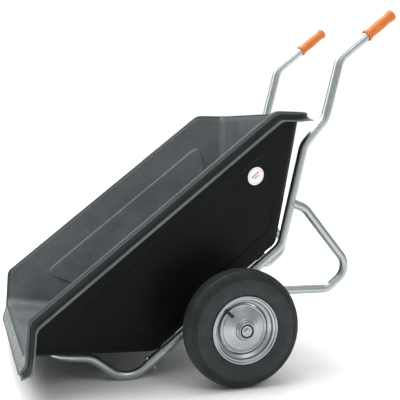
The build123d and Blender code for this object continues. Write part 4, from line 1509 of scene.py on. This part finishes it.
@dataclass
class Wheel:
    """One wheel: ribbed tyre, pressed rim and disc, hub, dust ring, washer, bolt and valve."""

    place: RimFrame
    finishes: dict
    side: str
    sign: float
    bead: float = 0.1015
    drop: float = 0.085
    half_drop: float = 0.015
    hub: float = 0.027
    hub_half: float = 0.055
    hub_bore: float = 0.0235
    bearing_face: float = 0.050
    washer_thick: float = 0.003
    bolt_flats: float = 0.017
    bolt_head: float = 0.0064
    valve_angle: float = math.radians(47)
    valve_lean: float = math.radians(42)
    valve_width: float = 1.3
    segments: int = 160
    shank: float = 0.0047
    shank_length: float = 0.020
    cone_share: float = 0.95
    cone_slope: float = math.tan(math.radians(32))
    dimple: tuple = (0.0050, 0.0046, 0.0004)
    sheet_thick: tuple = (0.0020, 0.0022)
    lug: tuple = (-52, 0.0712, 0.0028, 0.040, 0.0022)
    collar_weld: tuple = (0.0283, 0.0017, 0.0450, 0.0014)
    weld_ripple: float = 0.00022
    knurls: int = 16
    knurl_depth: float = 0.00018
    knurl_reach: tuple = (0.0274, 0.0350)
    tread_edge: float = 0.19
    tread_grooves: tuple = (
        (0.0, 0.0022, 0.0030), (0.0120, 0.0022, 0.0030), (0.0235, 0.0022, 0.0030))
    side_grooves: tuple = (
        (0.1900, 0.0015, 0.0034), (0.1840, 0.0015, 0.0032), (0.1775, 0.0015, 0.0028),
        (0.1710, 0.0014, 0.0022))
    side_ridges: tuple = (
        (0.1185, 0.0009, 0.0009), (0.1225, 0.0007, 0.0005), (0.1640, 0.0006, 0.0004))
    tyre_half: tuple = (
        (0.1030, 0.0335), (0.1085, 0.0372), (0.1150, 0.0392), (0.1220, 0.0428), (0.1330, 0.0470),
        (0.1450, 0.0492), (0.1570, 0.0494), (0.1670, 0.0482), (0.1760, 0.0456), (0.1840, 0.0414),
        (0.1905, 0.0356), (0.1950, 0.0285), (0.1978, 0.0205), (0.1993, 0.0110), (0.1998, 0.0))
    tyre_foot: tuple = ((0.1030, -0.0335), (0.1055, -0.026), (0.1055, 0.026), (0.1030, 0.0335))
    rim_half: tuple = (
        (0.1128, 0.0396), (0.1139, 0.0404), (0.1143, 0.0417), (0.1137, 0.0431), (0.1122, 0.0438),
        (0.1104, 0.0435), (0.1088, 0.0424), (0.1078, 0.0404), (0.1072, 0.0384), (0.1060, 0.0370),
        (0.1042, 0.0366), (0.1022, 0.0362), (0.1006, 0.0350), (0.0997, 0.0330), (0.0993, 0.0300),
        (0.0988, 0.0270), (0.0978, 0.0250), (0.0960, 0.0236), (0.0930, 0.0219), (0.0900, 0.0200),
        (0.0874, 0.0180), (0.0856, 0.0158), (0.0848, 0.0130), (0.0846, 0.0080), (0.0846, 0.0))
    disc_path: tuple = (
        (0.0826, 0.0030), (0.0826, 0.0120), (0.0826, 0.0180), (0.0822, 0.0206), (0.0808, 0.0222),
        (0.0790, 0.0226), (0.0774, 0.0220), (0.0762, 0.0209), (0.0748, 0.0207), (0.0734, 0.0216),
        (0.0722, 0.0232), (0.0706, 0.0244), (0.0680, 0.0254), (0.0620, 0.0274), (0.0550, 0.0299),
        (0.0480, 0.0325), (0.0420, 0.0346), (0.0376, 0.0360), (0.0350, 0.0372), (0.0336, 0.0390),
        (0.0330, 0.0414), (0.0322, 0.0432), (0.0306, 0.0441), (0.0288, 0.0443), (0.0273, 0.0443))
    dust_lip: tuple = (
        (0.0234, 0.0504), (0.0234, 0.0535), (0.0229, 0.0543), (0.0218, 0.0546), (0.0206, 0.0543),
        (0.0197, 0.0534), (0.0191, 0.0536), (0.0186, 0.0530), (0.0184, 0.0516), (0.0184, 0.0504))
    washer_shape: tuple = (
        (0.0053, 0.0), (0.0173, 0.0), (0.0179, 0.0006), (0.0180, 0.0022), (0.0174, 0.0029),
        (0.0160, 0.0030), (0.0128, 0.0024), (0.0108, 0.0026), (0.0098, 0.0030), (0.0053, 0.0030))
    valve_shape: tuple = (
        (0.0052, -0.0040), (0.0060, -0.0010), (0.0061, 0.0008), (0.0057, 0.0022), (0.0048, 0.0040),
        (0.0042, 0.0070), (0.0039, 0.0110), (0.00385, 0.0150), (0.00385, 0.0220), (0.0036, 0.0232),
        (0.0034, 0.0250), (0.0034, 0.0300))
    cap_shape: tuple = (
        (0.0035, 0.0256), (0.0041, 0.0252), (0.0045, 0.0256), (0.0045, 0.0272), (0.0044, 0.0276),
        (0.0044, 0.0340), (0.0042, 0.0354), (0.0036, 0.0364), (0.0022, 0.0369))

    def spindle(self) -> Spindle:
        """Axis of the wheel, pointing away from the barrow."""
        origin = np.array([0.0, self.sign * self.place.wheel_side, self.place.axle_height])
        return Spindle(origin, np.array([0.0, self.sign, 0.0]), np.array([1.0, 0.0, 0.0]))

    def ring(self, name: str, profile: Sequence, segments: int) -> Piece:
        """Start a piece with a closed profile turned about the wheel's axis.

        Args:
            name: name of the piece, without its side.
            profile: rows of radius and distance out from the wheel's middle.
            segments: faces round the axis.

        Returns:
            The unfinished piece.
        """
        piece = Piece(f"{name}_{self.side}")
        return turned(piece, self.spindle(), np.array(profile, float), segments, True)

    def done(self, piece: Piece, finish: str, slot: str, *parts: str,
             body: str = "") -> bpy.types.Object:
        """Finish a piece that stands for CAD parts of this side.

        Args:
            piece: the unfinished piece.
            finish: short name of its material.
            slot: the record's material slot.
            parts: names of the CAD parts, without the side.
            body: CAD body that it moves with, if that isn't the wheel.

        Returns:
            The finished object.
        """
        replaced = [f"{part}_{self.side}" for part in parts]
        return piece.finish(body or f"wheel_{self.side}", [self.finishes[finish]], slot, replaced)

    def build(self) -> list[bpy.types.Object]:
        """Build the wheel's pieces.

        Returns:
            The pieces.
        """
        makers = (self.tyre, self.rim, self.disc, self.hub_piece, self.dust_ring,
                  self.washer_piece, self.bolt, self.valve, self.cap)
        return [make() for make in makers]

    def tyre(self) -> bpy.types.Object:
        """Tyre: a smooth section with ribs, a rim guard and short moulded arcs.

        The section is a smooth curve through measured stations, mirrored across the
        wheel's middle. Grooves and ridges move each point along the section's normal by
        a height times a rounded pulse of the radius, or of the distance from the
        wheel's middle on the tread. The moulded arcs do the same, times a fade of the
        angle.

        Returns:
            The piece.
        """
        half = smooth_profile(self.tyre_half, 12)
        section = np.vstack([half, half[-2::-1] * (1, -1)])
        normal = square_to(section)
        normal *= np.sign(normal[len(section) // 2, 0])
        radius, out = section.T
        depth = np.zeros(len(section))
        for place, wide, deep in self.tread_grooves:
            depth -= deep * pulse(np.abs(out), place, wide, 4) * (radius > self.tread_edge)
        for place, wide, deep in self.side_grooves:
            depth -= deep * pulse(radius, place, wide, 4)
        for place, wide, tall in self.side_ridges:
            depth += tall * pulse(radius, place, wide, 2)
        angle = np.linspace(0, 2 * math.pi, self.segments, endpoint=False)[None]
        relief = depth[:, None] + 0 * angle
        for turn, place, wide, tall in self.marks():
            fade = 1 - smooth_step(self.turn_gap(angle, turn) / wide - 0.5)
            ridge = pulse(radius, place, 0.0009, 2) * (np.abs(out) > 0.03)
            relief = relief + tall * fade * ridge[:, None]
        foot = np.array(self.tyre_foot)[..., None] + 0 * angle
        rows = np.vstack([radius[:, None] + relief * normal[:, :1], foot[:, 0]])
        outs = np.vstack([out[:, None] + relief * normal[:, 1:], foot[:, 1]])
        piece = Piece(f"tyre_rubber_{self.side}")
        piece.grid(self.spindle().world(rows, angle, outs), wrap_rows=True, wrap_columns=True)
        return self.done(piece, "tyre", "tyre_rubber", "tyre", "air_tube")

    def turn(self, degrees: float) -> float:
        """Spindle angle of a direction seen from the left, counted up from forward."""
        return -self.sign * math.radians(degrees)

    def turn_gap(self, angle: Array, degrees: float) -> Array:
        """Size of the angles between a direction and some spindle angles."""
        return np.abs((angle - self.turn(degrees) + math.pi) % (2 * math.pi) - math.pi)

    @staticmethod
    def marks() -> list[tuple[float, float, float, float]]:
        """Moulded marks on the sidewall: turn, radius, half width in radians and height."""
        arcs = [(turn, 0.1430, math.radians(5), 0.0007) for turn in (88, 178, 268, 358)]
        arcs += [(turn, 0.1480, math.radians(3), 0.0006) for turn in (82, 94, 262, 274)]
        dots = [(turn, 0.1290, math.radians(1.6), 0.0008) for turn in (-76, 12, 104, 170)]
        return arcs + dots

    @staticmethod
    def sheet(profile: Array, thick: float) -> Array:
        """Closed section of a sheet: a path, and the same path moved along its normal.

        Args:
            profile: rows of radius and distance out.
            thick: thickness, to the left of the path's direction where positive.

        Returns:
            Rows of the closed section.
        """
        return np.vstack([profile, (profile + thick * square_to(profile))[::-1]])

    def rim(self) -> bpy.types.Object:
        """Pressed rim: rolled flange, bead seat, hollow step, cone and drop centre."""
        half = smooth_profile(self.rim_half, 3)
        path = np.vstack([half, half[-2::-1] * (1, -1)])
        piece = self.ring("rim_pressing", self.sheet(path, self.sheet_thick[0]), self.segments)
        return self.done(piece, "silver", "wheel_silver", "rim")

    def disc(self) -> bpy.types.Object:
        """Pressed disc: edge flange, ring groove, shallow dome and raised collar.

        A small pressed lug near its edge is a rounded pulse of radius and angle, and a
        rippled bead joins the collar to the hub.

        Returns:
            The piece.
        """
        section = self.sheet(smooth_profile(self.disc_path, 5), self.sheet_thick[1])
        angle = np.linspace(0, 2 * math.pi, 256, endpoint=False)[None]
        turn, place, wide, spread, tall = self.lug
        gap = self.turn_gap(angle, turn)
        lug = tall * pulse(section[:, :1], place, wide, 4) * pulse(gap, 0, spread, 4)
        points = self.spindle().world(section[:, :1] + 0 * angle, angle, section[:, 1:2] + lug)
        piece = Piece(f"disc_pressing_{self.side}")
        piece.grid(points, wrap_rows=True, wrap_columns=True)
        bead = np.linspace(0, 2 * math.pi, 14, endpoint=False)
        middle, wide, out, tall = self.collar_weld
        ring = np.stack([middle + wide * np.cos(bead), out + tall * np.sin(bead)], -1)
        ripple = self.weld_ripple * np.sin(angle * 64)
        weld = self.spindle().world(ring[:, :1] + ripple, angle, ring[:, 1:2] + 0 * angle)
        piece.grid(weld, wrap_rows=True, wrap_columns=True)
        return self.done(piece, "silver", "wheel_silver", "wheel_disc")

    def hub_piece(self) -> bpy.types.Object:
        """Hub tube with turned ends and its bearing seats."""
        half, out, bore = self.hub_half, self.hub, self.hub_bore + 0.0001
        ends = [(out, half - 0.0008), (out - 0.0007, half), (bore + 0.0009, half),
                (bore, half - 0.0008), (bore, 0.0362), (0.0170, 0.0360)]
        profile = [(out, -0.02), (out, 0.02)] + ends + [(r, -o) for r, o in reversed(ends)]
        piece = self.ring("hub_tube", profile, 96)
        return self.done(piece, "silver", "wheel_silver", "hub")

    def dust_ring(self) -> bpy.types.Object:
        """Black dust ring with a rolled lip."""
        piece = self.ring("dust_ring_lip", self.dust_lip, 96)
        return self.done(piece, "black", "black_rubber", "dust_ring")

    def washer_piece(self) -> bpy.types.Object:
        """Wide washer with rounded edges and a slight dish."""
        profile = np.array(self.washer_shape) + (0, self.bearing_face)
        piece = self.ring("axle_washer_dished", profile, 72)
        return self.done(piece, "zinc", "zinc", "axle_washer", body="frame")

    def bolt(self) -> bpy.types.Object:
        """End bolt: a hexagon head with a cone-turned top, and its shank.

        The head's radius at an angle is half the flats over the cosine of the angle from
        the nearest flat's middle. Its top edge drops with that radius beyond the cone.

        Returns:
            The piece.
        """
        start = self.bearing_face + self.washer_thick
        top = start + self.bolt_head
        angle = np.linspace(0, 2 * math.pi, 72, endpoint=False)
        from_flat = (angle + math.pi / 6) % (math.pi / 3) - math.pi / 6
        hexagon = self.bolt_flats / 2 / np.cos(from_flat)
        cone = self.bolt_flats / 2 * self.cone_share
        edge = top - (hexagon - cone) * self.cone_slope
        wide, narrow, deep = self.dimple
        stations = ((self.shank, start - self.shank_length), (self.shank, start), (hexagon, start),
                    (hexagon, edge), (cone, top), (wide, top), (narrow, top - deep))
        radius, out = (np.stack([row[k] + 0 * angle for row in stations]) for k in (0, 1))
        points = self.spindle().world(radius, angle[None], out)
        piece = Piece(f"axle_bolt_head_{self.side}")
        piece.grid(points, wrap_columns=True, cap_start=True, cap_end=True)
        return self.done(piece, "zinc", "zinc", "axle_bolt", body="frame")

    def valve_spindle(self) -> Spindle:
        """Axis of the valve from its root, leaning inwards and out."""
        turn = self.valve_angle
        outward = np.array([0.0, self.sign, 0.0])
        inward = -np.array([math.cos(turn), 0.0, math.sin(turn)])
        middle = np.array([0.0, self.sign * self.place.wheel_side, self.place.axle_height])
        root = middle - inward * (self.bead + self.drop) / 2 + outward * (self.half_drop + 0.006)
        lean = inward * math.cos(self.valve_lean) + outward * math.sin(self.valve_lean)
        across = np.cross(lean, inward)
        return Spindle(root, lean, across / np.linalg.norm(across))

    def valve(self) -> bpy.types.Object:
        """Rubber valve stem with a flared foot."""
        profile = np.array(self.valve_shape) * (self.valve_width, 1)
        piece = Piece(f"valve_rubber_{self.side}")
        turned(piece, self.valve_spindle(), profile, 32, cap_start=True, cap_end=True)
        return self.done(piece, "black", "black_rubber", "valve_stem")

    def cap(self) -> bpy.types.Object:
        """Knurled valve cap: its radius swells and shrinks round the axis."""
        profile = np.array(self.cap_shape) * (self.valve_width, 1)
        angle = np.linspace(0, 2 * math.pi, 64, endpoint=False)[None]
        radius, along = profile[:, :1], profile[:, 1:]
        grip = (along > self.knurl_reach[0]) & (along < self.knurl_reach[1])
        knurl = np.where(grip, self.knurl_depth * np.cos(self.knurls * angle), 0)
        points = self.valve_spindle().world(radius + knurl, angle, along)
        piece = Piece(f"valve_cap_knurled_{self.side}")
        piece.grid(points, wrap_columns=True, cap_start=True, cap_end=True)
        return self.done(piece, "black_plastic", "black_plastic", "valve_cap")


# ---------------------------------------------------------------- CAD parts that stay

@dataclass
class Hardware:
    """CAD parts whose shapes are right: they only get their finishes."""

    slots: tuple = (
        ("galvanised", ("cross_member_", "axle_bracket_")),
        ("zinc", ("nose_bolts", "nose_nuts", "tub_washers", "tub_bolts", "tub_nuts")),
        ("bright", ("axle", "hub_spacer_", "axle_spacer_", "outer_races_", "inner_races_",
                    "bearing_balls_")),
    )

    def dress(self, nodes: dict, finishes: dict) -> int:
        """Give each CAD part its finish.

        Args:
            nodes: CAD objects by name.
            finishes: materials by name.

        Returns:
            How many parts were dressed.
        """
        count = 0
        for name, node in nodes.items():
            finish = self.finish_of(name)
            if finish and not node.hide_render:
                node.data.materials.clear()
                node.data.materials.append(finishes[finish])
                count += 1
        return count

    def finish_of(self, name: str) -> Optional[str]:
        """Finish of a CAD part's name, if it has one."""
        for finish, starts in self.slots:
            families = tuple(start for start in starts if start.endswith("_"))
            if name in starts or name.startswith(families):
                return finish
        return None


# ---------------------------------------------------------------- studio

@dataclass
class Studio:
    """Pale floor, soft lights, a graded sky for reflections and the camera."""

    floor_size: float = 40.0
    camera_place: tuple = (0.901, 2.727, 0.847)
    yaw: float = math.radians(18.36)
    pitch: float = math.radians(5.16)
    roll: float = math.radians(-0.16)
    lens: float = 67.23
    sensor: float = 36.0
    aim: tuple = (0.0, 0.0, 0.55)
    sky_stops: tuple = ((0.0, 0.10), (0.45, 0.16), (0.56, 0.42), (0.80, 0.62), (1.0, 0.70))
    sky_strength: float = 0.9
    lamps: tuple = (
        ("top", (0.0, -0.6, 3.4), 3.0, 60), ("front", (3.4, -0.8, 2.6), 2.2, 34),
        ("camera", (-0.9, 3.4, 3.2), 1.6, 22), ("back", (-1.2, -3.2, 2.4), 2.2, 30))
    sun_strength: float = 2.6
    sun_width: float = math.radians(70)
    sun_way: tuple = (-0.35, 0.25, -1.0)

    def build(self) -> None:
        """Build everything that isn't part of the object."""
        self.floor()
        self.sky()
        self.lights()
        self.camera()
        bpy.context.scene.view_settings.view_transform = "Standard"

    def floor(self) -> None:
        """Large pale floor with a faint cloudiness."""
        half = self.floor_size / 2
        mesh = bpy.data.meshes.new("studio_floor")
        corners = [(-half, -half, 0), (half, -half, 0), (half, half, 0), (-half, half, 0)]
        mesh.from_pydata(corners, [], [(0, 1, 2, 3)])
        tree = Shader("studio floor")
        clouds = tree.noise(tree.place(), 0.8, 2)
        colour = tree.mix(clouds, (0.90, 0.90, 0.90), (0.94, 0.94, 0.94))
        pale = tree.surface(Base_Color=colour, Roughness=0.9, Specular_IOR_Level=0.1)
        mesh.materials.append(pale)
        floor = bpy.data.objects.new("studio_floor", mesh)
        bpy.context.scene.collection.objects.link(floor)
        floor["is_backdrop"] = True

    def sky(self) -> None:
        """White to the camera, and graded from a grey horizon to a pale top elsewhere."""
        world = bpy.data.worlds.new("studio sky")
        bpy.context.scene.world = world
        world.use_nodes = True
        nodes, links = world.node_tree.nodes, world.node_tree.links
        nodes.clear()
        place = nodes.new("ShaderNodeTexCoord")
        split = nodes.new("ShaderNodeSeparateXYZ")
        ramp = nodes.new("ShaderNodeValToRGB")
        while len(ramp.color_ramp.elements) < len(self.sky_stops):
            ramp.color_ramp.elements.new(1.0)
        for element, (spot, grey) in zip(ramp.color_ramp.elements, self.sky_stops):
            element.position = spot
            element.color = (grey, grey * 1.01, grey * 1.02, 1)
        half = nodes.new("ShaderNodeMapRange")
        half.inputs[1].default_value, half.inputs[2].default_value = -1, 1
        ray = nodes.new("ShaderNodeLightPath")
        seen, felt = nodes.new("ShaderNodeBackground"), nodes.new("ShaderNodeBackground")
        seen.inputs[0].default_value = (1, 1, 1, 1)
        seen.inputs[1].default_value = 1.0
        felt.inputs[1].default_value = self.sky_strength
        mix, end = nodes.new("ShaderNodeMixShader"), nodes.new("ShaderNodeOutputWorld")
        for source, sink in (
            (place.outputs["Generated"], split.inputs[0]), (split.outputs[2], half.inputs[0]),
            (half.outputs[0], ramp.inputs[0]), (ramp.outputs[0], felt.inputs[0]),
            (ray.outputs["Is Camera Ray"], mix.inputs[0]), (felt.outputs[0], mix.inputs[1]),
            (seen.outputs[0], mix.inputs[2]), (mix.outputs[0], end.inputs[0]),
        ):
            links.new(source, sink)

    def lights(self) -> None:
        """Four large soft lights over an even, very soft daylight."""
        for name, spot, size, power in self.lamps:
            data = bpy.data.lights.new(f"{name}_light", "AREA")
            data.shape = "DISK"
            data.size = size
            data.energy = power
            light = bpy.data.objects.new(f"{name}_light", data)
            light.location = spot
            aim = Vector(self.aim) - Vector(spot)
            light.rotation_euler = aim.to_track_quat("-Z", "Y").to_euler()
            bpy.context.scene.collection.objects.link(light)
        data = bpy.data.lights.new("daylight", "SUN")
        data.energy = self.sun_strength
        data.angle = self.sun_width
        sun = bpy.data.objects.new("daylight", data)
        sun.rotation_euler = Vector(self.sun_way).to_track_quat("-Z", "Y").to_euler()
        bpy.context.scene.collection.objects.link(sun)

    def camera(self) -> None:
        """Camera at the viewing angle: its axes come from yaw, pitch and roll."""
        sy, cy = math.sin(self.yaw), math.cos(self.yaw)
        sp, cp = math.sin(self.pitch), math.cos(self.pitch)
        sr, cr = math.sin(self.roll), math.cos(self.roll)
        ahead = Vector((-sy * cp, -cy * cp, -sp))
        right = Vector((-cy, sy, 0))
        down = ahead.cross(right)
        right, down = cr * right + sr * down, cr * down - sr * right
        data = bpy.data.cameras.new("camera")
        data.lens, data.sensor_width = self.lens, self.sensor
        data.clip_end = 100
        camera = bpy.data.objects.new("camera", data)
        turn = Matrix((right, -down, -ahead)).transposed().to_4x4()
        camera.matrix_world = Matrix.Translation(self.camera_place) @ turn
        bpy.context.scene.collection.objects.link(camera)
        bpy.context.scene.camera = camera


# ---------------------------------------------------------------- making

def finishes() -> dict:
    """Every material by its short name."""
    kinds = {
        # Tub inside and rim: lit copies of the one dark plastic, made lighter as painted light from
        # above.
        "tub_inside": TubPlastic("tub plastic inside painted light", (0.092, 0.102, 0.106), (0.062, 0.069, 0.074),
                                 roughness=0.50, scratches=0.35),
        "tub_rim": TubPlastic("tub plastic rim painted light", (0.062, 0.080, 0.079), (0.042, 0.056, 0.055),
                              roughness=0.36, scratches=0.20),
        # Tub outside: a shaded copy of the same plastic, near black as painted shade on the
        # downward-facing walls.
        "tub_outside": TubPlastic("tub plastic outside painted shade", (0.0030, 0.0035, 0.0042),
                                  (0.0018, 0.0020, 0.0025), roughness=0.45, scratches=0.01,
                                  shine=0.10),
        # Skirt: a darker copy of the same plastic, painted shade under the rim.
        "tub_skirt": TubPlastic("tub plastic skirt painted shade", (0.012, 0.020, 0.020), (0.006, 0.011, 0.011),
                                roughness=0.40, scratches=0.04, shine=0.25),
        # Tub foot edge: a pale copy of the same plastic, a painted highlight along the skirt's
        # lower edge.
        "tub_edge": TubPlastic("tub plastic edge painted highlight", (0.115, 0.135, 0.135),
                               (0.070, 0.088, 0.088), roughness=0.38, scratches=0.20),
        "label": Sticker(),
        "tyre": TyreRubber(),
        "black": SmoothRubber("black rubber", (0.012, 0.012, 0.013), (0.030, 0.030, 0.032), 0.5),
        "black_plastic": SmoothRubber("black plastic", (0.014, 0.014, 0.015), (0.028, 0.028, 0.030),
                                      0.38),
        "grip": GripFoam(),
        "galvanised": Galvanised(),
        "silver": SilverPaint(),
        "zinc": PlatedSteel("zinc plate", (0.40, 0.41, 0.42), (0.34, 0.33, 0.29), 0.34),
        "bright": PlatedSteel("ground steel", (0.42, 0.43, 0.44), (0.34, 0.35, 0.36), 0.28),
        "weld": WeldBead(),
    }
    return {name: kind.make() for name, kind in kinds.items()}


def corners(bounds: tuple) -> list[list[float]]:
    """Two corners of a box as plain lists."""
    return [[float(value) for value in corner] for corner in bounds]


def main() -> None:
    logging.basicConfig(level=logging.INFO, format="%(name)s: %(message)s")
    cad_box = corners(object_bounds())
    place = RimFrame(frame["record"])
    made = finishes()
    pieces = Tub(place, made).build() + Tubes(place, made).build()
    for side, sign in SIDES:
        pieces += Wheel(place, made, side, sign).build()
    for piece in pieces:
        piece.data.set_sharp_from_angle(angle=SHARP_ANGLE)
    dressed = Hardware().dress(frame["nodes"], made)
    LOG.info("%d new pieces, %d CAD parts dressed", len(pieces), dressed)
    Studio().build()
    {"cad": cad_box, "visual": corners(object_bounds())}


if __name__ == "__main__":
    main()
